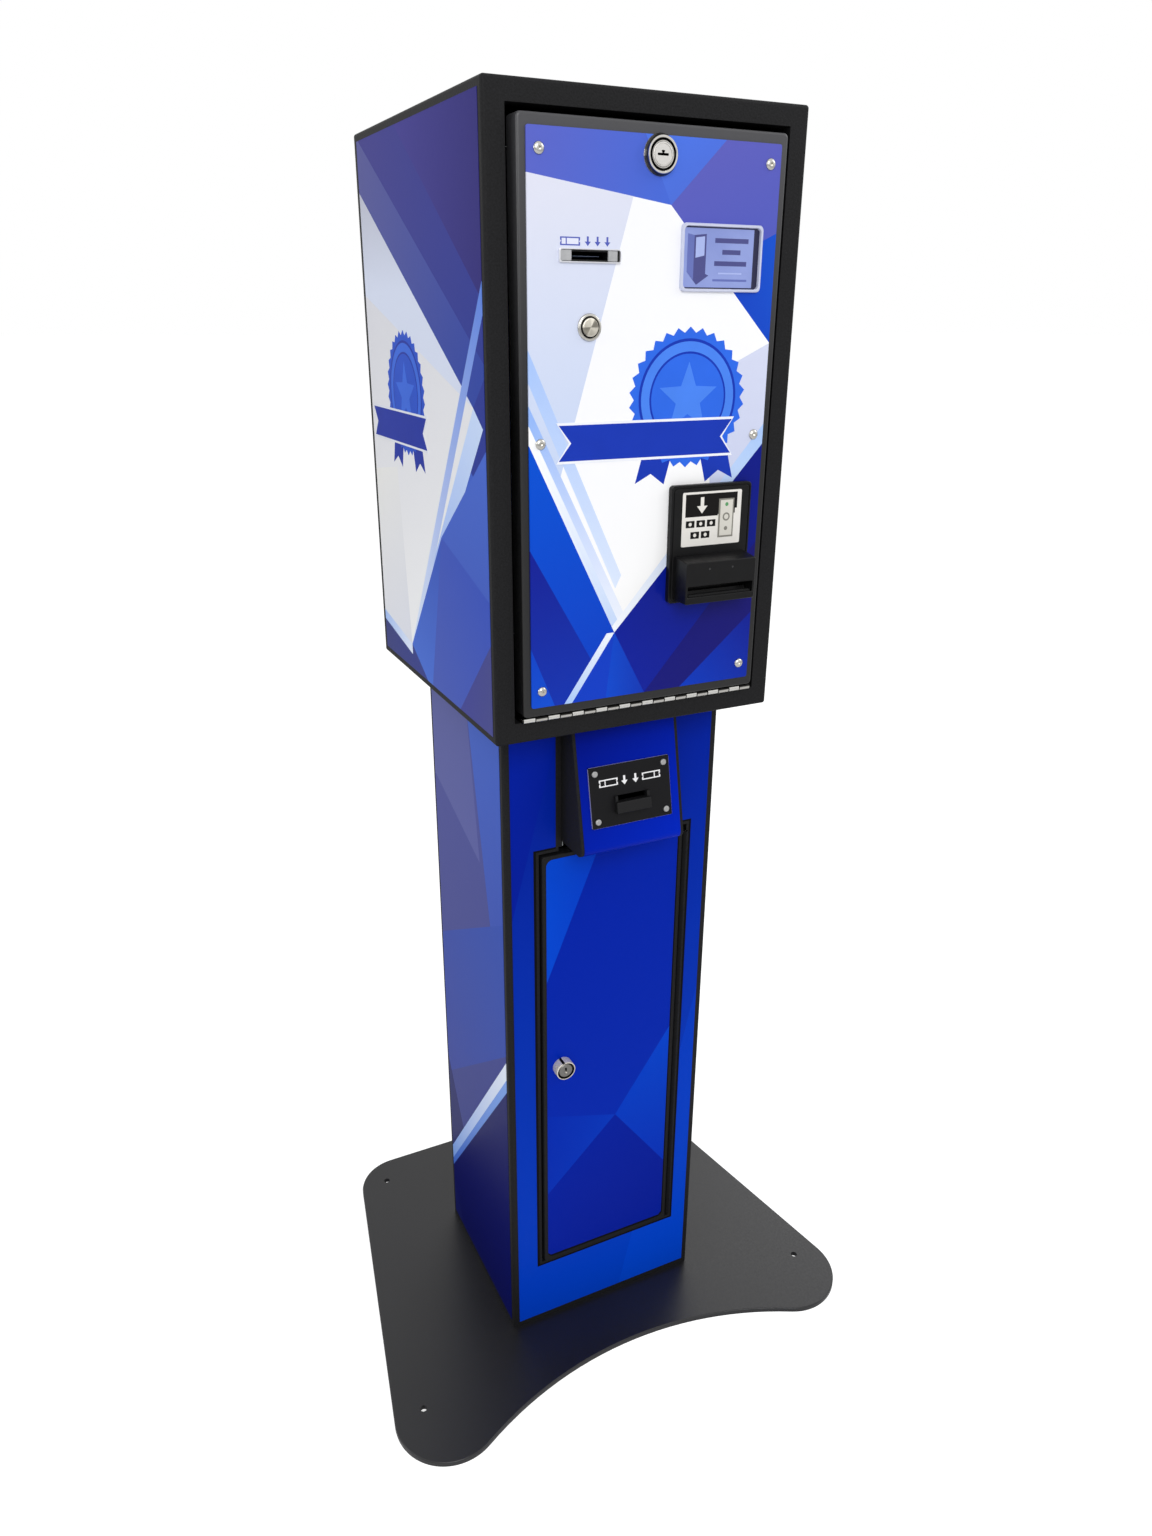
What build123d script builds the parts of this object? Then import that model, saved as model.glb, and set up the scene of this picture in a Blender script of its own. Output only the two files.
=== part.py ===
from build123d import *
import math
import os

# Floor-standing raffle ticket dispenser.
# Millimetres, +Z up, front towards -Y, origin on the floor at the middle of the base plate.

# Overall sheet-metal envelope
base_thickness = 6.35
base_front_width = 609.6
base_back_width = 457.2
base_depth = 495.3
base_front_radius = 63.5
base_back_radius = 57.0
base_front_dip = 59.4
base_edge_radius = 1.5
column_width = 254.0
column_depth = 222.25
column_height = 819.15
column_setback = 135.4
cabinet_width = 304.8
cabinet_depth = 355.6
cabinet_height = 546.1
cabinet_overhang = 50.8

# Sheet and bends
sheet = 2.0
thick_sheet = 4.0
bend_radius = 3.0
vinyl = 0.3

# Floor anchor holes
anchor_radius = 4.0
anchor_front_spacing = 534.0
anchor_back_spacing = 396.6
anchor_front_setback = 79.4
anchor_back_inset = 40.1

# Bolts through the flanges
bolt_radius = 4.0
bolt_clearance = 0.3
bolt_head_radius = 7.2
bolt_head_height = 5.3
nut_height = 6.5
flange_width = 30.0
bolt_inset = 17.0
tapped_fit = 0.05
bolt_tip_above_floor = 0.5
bolt_beyond_nut = 2.0
dome_share = 0.6

# Cabinet front frame and its opening
frame_side = 19.05
frame_top = 17.5
frame_return = 20.0
cable_hole_radius = 25.0

# Continuous hinges
knuckle_gap = 0.3
barrel_radius = 3.2
hinge_pin_radius = 1.5
hinge_fit = 0.05
leaf_width = 18.0
leaf_thickness = 1.5
head_knuckles = 20
pedestal_knuckles = 22
pedestal_hinge_end = 4.6
head_hinge_above_floor_of_cabinet = 23.85
head_hinge_proud = 3.0
pedestal_hinge_proud = 2.0

# Head door
head_door_gap = 6.35
head_door_proud = 7.5
head_door_depth = 20.0
head_door_corner = 4.0
head_door_edge = 2.2
graphic_panel = 1.5
graphic_side_border = 7.4
graphic_bottom_border = 9.5
graphic_top_border = 9.1
graphic_screw_inset = 10.7
graphic_screw_end = 15.6
graphic_screw_radius = 2.0
graphic_screw_head = 4.8
graphic_screw_head_height = 2.2
graphic_screw_tip = 4.0
graphic_corner = 2.0

# Pedestal door and its opening
pedestal_opening_width = 182.0
pedestal_opening_offset = 3.5
pedestal_opening_bottom = 95.0
pedestal_opening_height = 573.0
pedestal_return = 12.0
pedestal_door_gap = 2.5
pedestal_door_proud = 3.0
pedestal_door_depth = 13.0
pedestal_door_corner = 3.0
pedestal_graphic_border = 4.6
pedestal_graphic_corner = 8.0
chute_opening_width = 129.0

# Wrap graphics
wrap_border = 7.6
cabinet_wrap_border = 8.0
opening_border = 3.5

# Ticket return chute hood
hood_width = 121.0
hood_top_proud = 21.0
hood_bottom_proud = 49.7
hood_bottom_above_opening = 10.9
hood_bend = 8.0
hood_graphic_above_bottom = 10.5
hood_sheet = 1.5
hood_wing = 14.0
hood_wing_clearance = 1.0
slot_plate_width = 94.0
slot_plate_height = 64.5
slot_plate_thickness = 2.0
slot_plate_corner = 1.5
slot_plate_below_top = 79.0
slot_width = 34.0
slot_height = 6.0
slot_below_plate_centre = 4.0
lip_width = 40.0
lip_height = 12.0
lip_reach = 7.0
lip_edge = 1.2
plate_screw_inset = 7.0
plate_screw_radius = 1.5
plate_screw_head = 3.3
plate_screw_head_height = 1.8
plate_screw_tip = 3.0
slot_cut_depth = 9.0
deflector_sheet = 1.2
deflector_drop = 60.0
deflector_over_bin = 50.0
deflector_cheek_end = 8.1

# Ticket bin
bin_width = 150.0
bin_depth = 150.0
bin_height = 330.0
bin_wall = 2.0
bin_back_gap = 20.0
bin_lip = 10.0
bin_foot_inset = 18.0
bin_foot_radius = 5.0
bin_bolt_clearance = 1.0

# Locks
head_lock_below_top = 23.6
head_lock_flange = 16.0
head_lock_proud = 4.7
head_lock_bevel = 2.8
head_lock_barrel = 12.0
head_lock_plug = 9.4
pedestal_lock_inset = 23.4
pedestal_lock_above_middle = 8.5
pedestal_lock_flange = 11.2
pedestal_lock_proud = 10.0
pedestal_lock_bevel = 0.8
pedestal_lock_barrel = 9.5
pedestal_lock_plug = 7.2
lock_fit = 0.05
lock_nut_height = 4.0
lock_nut_margin = 4.0
cam_length = 38.0
cam_width = 15.0
cam_thickness = 2.5
cam_gap = 0.4
cam_clearance = 1.0
tail_radius = 4.0
tail_length = 4.5
keyway_length = 8.5
keyway_width = 1.8
keyway_depth = 6.0

# Push button
button_below_top = 154.4
button_flange_radius = 11.0
button_barrel_radius = 9.5
button_cap_radius = 7.6
button_flange_height = 2.2
button_cap_height = 1.4
button_travel = 2.5
button_length = 24.0
button_well = 8.0
button_fit = 0.1
button_nut_height = 3.0
button_nut_margin = 2.6
button_flange_bevel = 0.75
button_cap_edge = 0.55

# Ticket exit
ticket_below_top = 99.9
exit_bezel_width = 57.0
exit_bezel_height = 11.0
exit_bezel_proud = 2.2
exit_opening_width = 32.0
exit_opening_height = 5.0
exit_throat_depth = 6.0
exit_throat_wall = 2.0
exit_bezel_corner = 1.5
exit_bezel_edge = 0.6

# Ticket feed
ticket_width = 28.0
ticket_thickness = 0.4
chassis_half_gap = 24.0
chassis_sheet = 1.5
chassis_depth = 70.0
chassis_half_height = 26.0
chassis_standoff = 1.0
roller_y_from_door = 38.0
roller_radius = 12.0
roller_width = 30.0
roller_shaft_radius = 3.0
roller_nip = 0.25
shaft_fit = 0.05
shaft_overhang = 3.0
shaft_end_gap = 1.0
shaft_end_inset = 0.3
motor_size = 42.0
motor_length = 33.0
motor_bore_depth = 12.0
motor_corner = 4.0
guide_bend_radius = 24.0
guide_sheet = 1.2
guide_gap = 0.35
guide_overlap = 9.0
guide_tail = 6.0
guide_margin = 1.0

# Ticket roll
roll_radius = 90.0
roll_width = 29.0
roll_centre_from_door = 100.0
roll_below_exit = 148.7
spindle_radius = 12.0
spindle_fit = 0.08
roll_gap = 0.3
roll_side_gap = 1.5
bracket_sheet = 3.0
bracket_height = 44.0
bracket_foot = 24.0
bracket_end_margin = 22.0
retainer_radius = 20.0
retainer_thickness = 3.0

# Display
display_below_top = 99.05
display_window_width = 82.0
display_window_height = 53.5
display_window_proud = 3.0
display_window_corner = 4.0
display_rim = 6.0
display_window_edge = 1.2
display_recess = 1.4
display_recess_corner = 1.5
display_lens_corner = 0.5
display_module_margin = 4.0
display_module_depth = 11.0
display_module_corner = 1.0
display_module_rim = 6.0
display_back_recess = 5.5

# Bill acceptor
bill_bottom_above_door = 96.4
bill_plate_width = 87.0
bill_plate_height = 109.6
bill_plate_proud = 6.5
bill_plate_corner = 4.0
bill_plate_edge = 2.0
snout_width = 76.4
snout_height = 42.0
snout_above_plate = 3.4
snout_proud = 28.9
snout_edge = 2.5
bill_slot_width = 72.0
bill_slot_height = 10.0
bill_slot_clearance = 0.6
bill_slot_above_snout = 6.5
bill_mouth_depth = 14.0
bill_throat_height = 4.6
bill_label_width = 64.5
bill_label_height = 50.0
bill_label_below_top = 6.5
bill_label_thickness = 0.3
bill_label_corner = 1.5
validator_width = 90.0
validator_height = 124.0
validator_depth = 80.0
validator_path_depth = 66.0
cash_box_width = 86.0
cash_box_depth = 84.0
cash_box_height = 196.0
cash_box_wall = 2.0
cash_box_gap = 0.4
cash_box_slot_height = 8.0
rail_width = 4.0
rail_height = 8.0
rail_length = 30.0
rail_end_gap = 1.0

# Electrics on the back panel
panel_screw_inset = 12.0
panel_screw_radius = 2.5
panel_screw_head = 4.8
panel_screw_head_height = 2.6
panel_flange = 16.0
standoff_radius = 3.5
standoff_height = 8.0
supply_width = 98.0
supply_height = 129.0
supply_depth = 38.0
supply_inset = 33.4
supply_bottom = 45.0
supply_edge = 1.0
board_width = 120.0
board_height = 150.0
board_thickness = 1.6
board_bottom = 240.0
board_hole_inset = 6.0
chip_rows = 3
chip_row_bottom = 22.5
chip_row_pitch = 40.5
chip_row_width = 66.0
chip_row_height = 18.0
chip_row_offset = -3.0
chip_height = 9.0
inlet_inset = 33.4
inlet_above_floor = 60.0
inlet_width = 48.0
inlet_height = 28.0
inlet_depth = 24.0
inlet_socket_width = 24.0
inlet_socket_height = 16.0
inlet_socket_depth = 18.0
inlet_flange = 3.0
inlet_corner = 3.0

# Places worked out from the sizes above
base_front_y = -base_depth / 2
base_back_y = base_depth / 2
column_front_y = base_front_y + column_setback
column_back_y = column_front_y + column_depth
column_top_z = base_thickness + column_height
cabinet_front_y = column_front_y - cabinet_overhang
cabinet_back_y = cabinet_front_y + cabinet_depth
cabinet_top_z = column_top_z + cabinet_height
opening_half = cabinet_width / 2 - frame_side
opening_top_z = cabinet_top_z - frame_top
head_hinge_y = cabinet_front_y - head_hinge_proud
head_hinge_z = column_top_z + head_hinge_above_floor_of_cabinet
opening_bottom_z = head_hinge_z - barrel_radius
head_door_half = opening_half - head_door_gap
head_door_bottom = head_hinge_z + barrel_radius
head_knuckle_length = 2 * head_door_half / head_knuckles
head_door_top = opening_top_z - head_door_gap
ticket_x = -head_door_half / 2
button_x = ticket_x
bill_x = head_door_half / 2
display_x = bill_x
board_x = 0.0
supply_x = cabinet_width / 2 - supply_inset - supply_width / 2
inlet_x = -cabinet_width / 2 + inlet_inset + inlet_width / 2
head_door_front = cabinet_front_y - head_door_proud
head_door_inner = head_door_front + sheet
graphic_front = head_door_front - graphic_panel
graphic_half = head_door_half - graphic_side_border
graphic_bottom = head_door_bottom + graphic_bottom_border
graphic_top = head_door_top - graphic_top_border
head_lock_z = head_door_top - head_lock_below_top
head_lock_length = cabinet_front_y + frame_return + cam_clearance - graphic_front - cam_gap
button_z = head_door_top - button_below_top
ticket_z = head_door_top - ticket_below_top
display_z = head_door_top - display_below_top
bill_bottom_z = head_door_bottom + bill_bottom_above_door
bill_centre_z = bill_bottom_z + bill_plate_height / 2
bill_slot_z = bill_bottom_z + snout_above_plate + bill_slot_above_snout + bill_slot_height / 2
validator_bottom_z = bill_centre_z - validator_height / 2
validator_back_y = head_door_inner + validator_depth
cash_box_front_y = validator_back_y + cash_box_gap
pedestal_left = pedestal_opening_offset - pedestal_opening_width / 2
pedestal_right = pedestal_opening_offset + pedestal_opening_width / 2
pedestal_bottom_z = base_thickness + pedestal_opening_bottom
pedestal_top_z = pedestal_bottom_z + pedestal_opening_height
pedestal_hinge_x = pedestal_right - barrel_radius
pedestal_hinge_y = column_front_y - pedestal_hinge_proud
pedestal_hinge_z = (pedestal_bottom_z + pedestal_top_z) / 2
pedestal_door_left = pedestal_left + pedestal_door_gap
pedestal_door_right = pedestal_right - 2 * barrel_radius
pedestal_door_bottom = pedestal_bottom_z + pedestal_door_gap
pedestal_door_top = pedestal_top_z - pedestal_door_gap
pedestal_lock_x = pedestal_door_left + pedestal_lock_inset
pedestal_lock_z = (pedestal_door_bottom + pedestal_door_top) / 2 + pedestal_lock_above_middle
pedestal_hinge_length = pedestal_door_top - pedestal_door_bottom - 2 * pedestal_hinge_end
pedestal_knuckle_length = pedestal_hinge_length / pedestal_knuckles
pedestal_door_front = column_front_y - pedestal_door_proud
pedestal_door_inner = pedestal_door_front + sheet
pedestal_lock_length = column_front_y + pedestal_return + cam_clearance - pedestal_door_front - cam_gap
hood_bottom_z = pedestal_top_z + hood_bottom_above_opening
hood_slope = math.atan2(hood_bottom_proud - hood_top_proud, column_top_z - hood_bottom_z)
wing_front_y = column_front_y + sheet
roller_y = head_door_inner + roller_y_from_door
drive_roller_z = ticket_z - roller_radius - roller_nip
idler_roller_z = ticket_z + roller_radius + roller_nip
chassis_front_y = head_door_inner + exit_throat_depth + chassis_standoff
chassis_back_y = chassis_front_y + chassis_depth
roll_y = head_door_inner + roll_centre_from_door
roll_z = ticket_z - roll_below_exit
strip_back_y = roll_y + roll_radius + roll_gap
bin_centre_y = column_back_y - sheet - bin_back_gap - bin_depth / 2
bin_front_y = bin_centre_y - bin_depth / 2


# Basic shapes
def block(x0, x1, y0, y1, z0, z1):
    """A box between its limits."""
    centre = Pos((x0 + x1) / 2, (y0 + y1) / 2, (z0 + z1) / 2)
    return centre * Box(x1 - x0, y1 - y0, z1 - z0)


def rod(radius, start, direction, length):
    """A round bar from a start point along a direction."""
    bar = Cylinder(radius, length, align=(Align.CENTER, Align.CENTER, Align.MIN))
    return Plane(origin=start, z_dir=direction) * bar


def tube(outer, inner, start, direction, length):
    """A round bar with a bore right through."""
    return rod(outer, start, direction, length) - rod(inner, start, direction, length)


def hexagon(across_corners_radius, start, direction, length):
    """A hexagonal bar from a start point along a direction."""
    return extrude(Plane(origin=start, z_dir=direction) * RegularPolygon(across_corners_radius, 6), length)


def front_plate(cx, cz, width, height, corner, y0, y1):
    """A plate that faces the front, with rounded corners, between two depths."""
    outline = RectangleRounded(width, height, corner)
    return extrude(Plane(origin=(cx, y1, cz), x_dir=(1, 0, 0), z_dir=(0, -1, 0)) * outline, y1 - y0)


def button_screw(x, y, z, direction, shank, head, head_height, length):
    """A domed screw: the head stands off the surface and the shank goes in."""
    dome = rod(head, (x, y, z), direction, head_height)
    rim = dome.faces().sort_by(Axis((x, y, z), direction))[-1].edges()
    dome = fillet(rim, min(head, head_height) * dome_share)
    inward = tuple(-part for part in direction)
    return dome + rod(shank, (x, y, z), inward, length)


# Base plate
def base_outline():
    """Front corners are arcs that run into the long inward curve of the front edge."""
    corner_x = base_front_width / 2 - base_front_radius
    corner_y = base_front_y + base_front_radius
    curve_y = base_front_y + base_front_dip
    rise = corner_y - curve_y
    curve_radius = (corner_x**2 + rise**2 - base_front_radius**2) / (2 * (base_front_radius - rise))
    centre_y = curve_y - curve_radius
    share = base_front_radius / (base_front_radius + curve_radius)
    touch = (corner_x * (1 - share), corner_y + (centre_y - corner_y) * share)
    back_x = base_back_width / 2
    reach = math.hypot(corner_x - back_x, corner_y - base_back_y)
    lean = math.atan2(corner_x - back_x, base_back_y - corner_y) + math.asin(base_front_radius / reach)
    side = (corner_x + base_front_radius * math.cos(lean), corner_y + base_front_radius * math.sin(lean))
    middle_turn = (lean + math.atan2(touch[1] - corner_y, touch[0] - corner_x)) / 2
    nose = (
        corner_x + base_front_radius * math.cos(middle_turn),
        corner_y + base_front_radius * math.sin(middle_turn)
    )
    right = [
        Line((back_x, base_back_y), side),
        ThreePointArc(side, nose, touch),
        ThreePointArc(touch, (0, curve_y), (-touch[0], touch[1])),
    ]
    left = [
        ThreePointArc((-touch[0], touch[1]), (-nose[0], nose[1]), (-side[0], side[1])),
        Line((-side[0], side[1]), (-back_x, base_back_y)),
        Line((-back_x, base_back_y), (back_x, base_back_y)),
    ]
    return make_face(Curve() + right + left)


def anchor_places():
    front = base_front_y + anchor_front_setback
    back = base_back_y - anchor_back_inset
    half_front = anchor_front_spacing / 2
    half_back = anchor_back_spacing / 2
    return [(-half_front, front), (half_front, front), (-half_back, back), (half_back, back)]


def flange_bolt_places():
    half = column_width / 2 - sheet - bolt_inset
    front = column_front_y + sheet + bolt_inset + pedestal_return
    back = column_back_y - sheet - bolt_inset
    return [(-half, front), (half, front), (-half, back), (half, back)]


def base_plate():
    plate = extrude(base_outline(), base_thickness)
    plate = fillet(plate.edges().filter_by(Axis.Z).sort_by(Axis.Y)[-2:], base_back_radius)
    plate = fillet(plate.faces().sort_by(Axis.Z)[-1].edges(), base_edge_radius)
    for x, y in anchor_places():
        plate -= rod(anchor_radius, (x, y, 0), (0, 0, 1), base_thickness)
    for x, y in flange_bolt_places():
        plate -= rod(bolt_radius + tapped_fit, (x, y, 0), (0, 0, 1), base_thickness)
    return plate


# Column
def ring_flange(z0, thickness):
    """A flat ring inside the column's four walls."""
    half = column_width / 2 - sheet
    front = column_front_y + sheet
    back = column_back_y - sheet
    front_width = flange_width + pedestal_return
    ring = block(-half, half, front, back, z0, z0 + thickness)
    ring = fillet(ring.edges().filter_by(Axis.Z), bend_radius)
    ring -= block(
        -half + flange_width, half - flange_width, front + front_width, back - flange_width, z0,
        z0 + thickness
    )
    for x, y in flange_bolt_places():
        ring -= rod(bolt_radius + bolt_clearance, (x, y, z0), (0, 0, 1), thickness)
    return ring


def column_foot_flange():
    return ring_flange(base_thickness, thick_sheet)


def column_top_flange():
    ring = ring_flange(column_top_z - thick_sheet, thick_sheet)
    half = hood_width / 2 + hood_wing + hood_wing_clearance
    front = column_front_y + sheet
    return ring - block(
        -half, half, front, front + pedestal_return, column_top_z - thick_sheet, column_top_z
    )


def base_bolts():
    bolts = []
    top = base_thickness + thick_sheet
    for x, y in flange_bolt_places():
        head = hexagon(bolt_head_radius, (x, y, top), (0, 0, 1), bolt_head_height)
        bolts.append(head + rod(bolt_radius, (x, y, bolt_tip_above_floor), (0, 0, 1), top))
    return bolts


def column_shell():
    outer = block(
        -column_width / 2, column_width / 2, column_front_y, column_back_y, base_thickness, column_top_z
    )
    outer = fillet(outer.edges().filter_by(Axis.Z), bend_radius)
    half = column_width / 2 - sheet
    inner = block(-half, half, column_front_y + sheet, column_back_y - sheet, base_thickness, column_top_z)
    shell = outer - fillet(inner.edges().filter_by(Axis.Z), bend_radius - sheet)
    depth = column_front_y + pedestal_return
    lining = block(
        pedestal_left - sheet, pedestal_right + sheet, column_front_y, depth,
        pedestal_bottom_z - sheet, pedestal_top_z + sheet,
    )
    shell += lining - block(
        -chute_opening_width / 2 - sheet, chute_opening_width / 2 + sheet, column_front_y + sheet, depth,
        pedestal_top_z, pedestal_top_z + sheet,
    )
    shell -= block(pedestal_left, pedestal_right, column_front_y, depth, pedestal_bottom_z, pedestal_top_z)
    shell -= block(
        -chute_opening_width / 2, chute_opening_width / 2, column_front_y, depth, pedestal_top_z,
        column_top_z
    )
    return shell


def column_graphics():
    z0 = base_thickness + wrap_border
    z1 = column_top_z
    half = column_width / 2
    y0 = column_front_y + wrap_border
    y1 = column_back_y - wrap_border
    left = block(-half - vinyl, -half, y0, y1, z0, z1)
    right = block(half, half + vinyl, y0, y1, z0, z1)
    front_half = half - wrap_border
    front = block(-front_half, front_half, column_front_y - vinyl, column_front_y, z0, z1)
    front -= block(
        pedestal_left - opening_border, pedestal_right + opening_border, column_front_y - vinyl,
        column_front_y,
        pedestal_bottom_z - opening_border, pedestal_top_z + opening_border,
    )
    chute_half = chute_opening_width / 2 + opening_border
    front -= block(-chute_half, chute_half, column_front_y - vinyl, column_front_y, pedestal_top_z, z1)
    return [left, right] + list(front.solids())


# Chute hood on the front of the column
def hood_front_y(z):
    return column_front_y - hood_top_proud - (column_top_z - z) * math.tan(hood_slope)


def hood_plane(z, x=0.0):
    """Lies in the hood's sloped front face, with its normal pointing out."""
    normal = (0, -math.cos(hood_slope), math.sin(hood_slope))
    return Plane(origin=(x, hood_front_y(z), z), x_dir=(1, 0, 0), z_dir=normal)


def slot_plate_z():
    return column_top_z - slot_plate_below_top


def hood_profile(inset):
    """Side view of the hood's outer skin, drawn in by a distance."""
    top = column_top_z
    front_shift = inset / math.cos(hood_slope)
    points = [
        (hood_front_y(top) + front_shift, top),
        (hood_front_y(hood_bottom_z + inset) + front_shift, hood_bottom_z + inset),
        (wing_front_y, hood_bottom_z + inset),
        (wing_front_y, top),
    ]
    return [(0, y, z) for y, z in points]


def hood_body(half, inset, bend):
    face = make_face(Polyline(hood_profile(inset), close=True))
    solid = extrude(face, half, dir=(1, 0, 0)) + extrude(face, half, dir=(-1, 0, 0))
    corner = solid.edges().filter_by(Axis.X).sort_by(Axis.Y)[0]
    return fillet(corner, bend)


def slot_cut():
    """The ticket slot, cut square to the sloped face, through the plate and the hood."""
    plane = hood_plane(slot_plate_z())
    return plane * Pos(0, -slot_below_plate_centre, 0) * Box(slot_width, slot_height, 2 * slot_cut_depth)


def plate_screw_holes():
    """The holes for the plate's screws, through the plate and the hood."""
    return [
        place * Cylinder(plate_screw_radius + tapped_fit, 2 * slot_cut_depth)
        for place in plate_screw_places()
    ]


def chute_hood():
    half = hood_width / 2
    hood = hood_body(half, 0, hood_bend)
    hood -= hood_body(half - hood_sheet, hood_sheet, hood_bend - hood_sheet)
    wing_z0 = pedestal_top_z + opening_border
    wing_z1 = column_top_z - thick_sheet
    for side in (-1, 1):
        inner_x = side * (half - hood_sheet)
        outer_x = side * (half + hood_wing)
        x0, x1 = sorted((inner_x, outer_x))
        hood += block(x0, x1, wing_front_y, wing_front_y + hood_sheet, wing_z0, wing_z1)
    for cut in [slot_cut()] + plate_screw_holes():
        hood -= cut
    return hood


def plate_screw_places():
    places = []
    for side in (-1, 1):
        for end in (-1, 1):
            x = side * (slot_plate_width / 2 - plate_screw_inset)
            y = end * (slot_plate_height / 2 - plate_screw_inset)
            places.append(hood_plane(slot_plate_z()) * Pos(x, y, 0))
    return places


def hood_graphic():
    half = hood_width / 2 - opening_border
    z0 = hood_bottom_z + hood_graphic_above_bottom
    z1 = column_top_z - opening_border
    length = (z1 - z0) / math.cos(hood_slope)
    middle = hood_plane((z1 + z0) / 2)
    sheet_solid = middle * Pos(0, 0, vinyl / 2) * Box(2 * half, length, vinyl)
    plate = hood_plane(slot_plate_z()) * Pos(0, 0, vinyl / 2) * Box(
        slot_plate_width, slot_plate_height, vinyl
    )
    return sheet_solid - plate


def slot_plate():
    centre = hood_plane(slot_plate_z())
    plate = extrude(
        centre * RectangleRounded(slot_plate_width, slot_plate_height, slot_plate_corner),
        slot_plate_thickness
    )
    for cut in [slot_cut()] + plate_screw_holes():
        plate -= cut
    return plate


def slot_lip():
    """A small tray under the slot that the ticket is laid on."""
    base = hood_plane(slot_plate_z()).offset(slot_plate_thickness)
    lip_y = -slot_below_plate_centre - slot_height / 2 - lip_height / 2
    lip = base * Pos(0, lip_y, lip_reach / 2) * Box(lip_width, lip_height, lip_reach)
    lip = fillet(lip.faces().sort_by(Axis.Y)[0].edges(), lip_edge)
    ear_x = (slot_width + lip_width) / 4
    ear_y = -slot_below_plate_centre
    ear_size = (lip_width - slot_width) / 2
    for side in (-1, 1):
        lip += base * Pos(side * ear_x, ear_y, lip_reach / 4) * Box(ear_size, slot_height, lip_reach / 2)
    return lip


def slot_plate_screws():
    screws = []
    for place in plate_screw_places():
        head = Pos(0, 0, slot_plate_thickness + plate_screw_head_height / 2) * Cylinder(
            plate_screw_head, plate_screw_head_height
        )
        head = fillet(head.edges().sort_by(Axis.Z)[-1:], plate_screw_head_height * dome_share)
        reach = slot_plate_thickness + hood_sheet + plate_screw_tip
        shank = Pos(0, 0, slot_plate_thickness - reach / 2) * Cylinder(plate_screw_radius, reach)
        screws.append(place * (head + shank))
    return screws


def chute_deflector():
    """A sloped tray that carries the tickets from the hood back over the bin."""
    half = hood_width / 2 - hood_sheet
    y0 = wing_front_y + hood_sheet
    y1 = bin_front_y + deflector_over_bin
    z0 = hood_bottom_z
    z1 = z0 - deflector_drop
    t = deflector_sheet
    side_profile = [(0, y0, z0), (0, y1, z1), (0, y1, z1 + t), (0, y0, z0 + t)]
    tray = extrude(make_face(Polyline(side_profile, close=True)), half, both=True)
    flange_z1 = pedestal_top_z + opening_border + hood_wing
    for side in (-1, 1):
        x0, x1 = sorted((side * half, side * (half - t)))
        cheek = [(0, y0, z0), (0, y1, z1), (0, y1, z1 + deflector_cheek_end), (0, y0, flange_z1)]
        web = extrude(make_face(Polyline(cheek, close=True)), x1 - x0, dir=(1, 0, 0))
        tray += Pos(x0, 0, 0) * web
        outer = side * (half + hood_wing)
        f0, f1 = sorted((side * (half - t), outer))
        tray += block(f0, f1, y0, y0 + t, pedestal_top_z + opening_border, flange_z1)
    return tray


# Bin inside the column
def ticket_bin():
    half = bin_width / 2
    z0 = base_thickness + thick_sheet + bolt_head_height + bin_bolt_clearance
    outer = block(-half, half, bin_front_y, bin_front_y + bin_depth, z0, z0 + bin_height)
    outer = fillet(outer.edges().filter_by(Axis.Z), bend_radius)
    wall = bin_wall
    inner = block(
        -half + wall, half - wall, bin_front_y + wall, bin_front_y + bin_depth - wall, z0 + wall,
        z0 + bin_height
    )
    rim = block(
        -half - bin_lip, half + bin_lip, bin_front_y, bin_front_y + bin_depth, z0 + bin_height - wall,
        z0 + bin_height
    )
    tub = (outer + rim) - inner
    for side in (-1, 1):
        for end in (-1, 1):
            foot_x = side * (half - bin_foot_inset)
            foot_y = bin_centre_y + end * (bin_depth / 2 - bin_foot_inset)
            tub += rod(bin_foot_radius, (foot_x, foot_y, base_thickness), (0, 0, 1), z0 - base_thickness)
    return tub


# Continuous hinges
def hinge_leaf(side, knuckles, pitch):
    """One leaf in the hinge's own frame: pin along X, leaves towards +Y, side -1 fixed and +1 moving."""
    length = knuckles * pitch
    root = barrel_radius + knuckle_gap
    z0, z1 = sorted((side * barrel_radius, side * (barrel_radius - leaf_thickness)))
    leaf = block(-length / 2, length / 2, root, leaf_width, z0, z1)
    first = 0 if side < 0 else 1
    for i in range(first, knuckles, 2):
        x0 = -length / 2 + i * pitch + knuckle_gap / 2
        x1 = x0 + pitch - knuckle_gap
        curl = block(x0, x1, 0, root, z0, z1)
        curl += rod(barrel_radius, (x0, 0, 0), (1, 0, 0), x1 - x0)
        leaf += curl
    return leaf - rod(hinge_pin_radius + hinge_fit, (-length / 2, 0, 0), (1, 0, 0), length)


def hinge_pin(knuckles, pitch):
    length = knuckles * pitch
    return rod(hinge_pin_radius, (-length / 2, 0, 0), (1, 0, 0), length)


def head_hinge_place():
    return Pos(0, head_hinge_y, head_hinge_z)


def pedestal_hinge_place():
    origin = (pedestal_hinge_x, pedestal_hinge_y, pedestal_hinge_z)
    return Plane(origin=origin, x_dir=(0, 0, 1), z_dir=(-1, 0, 0)).location


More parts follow.
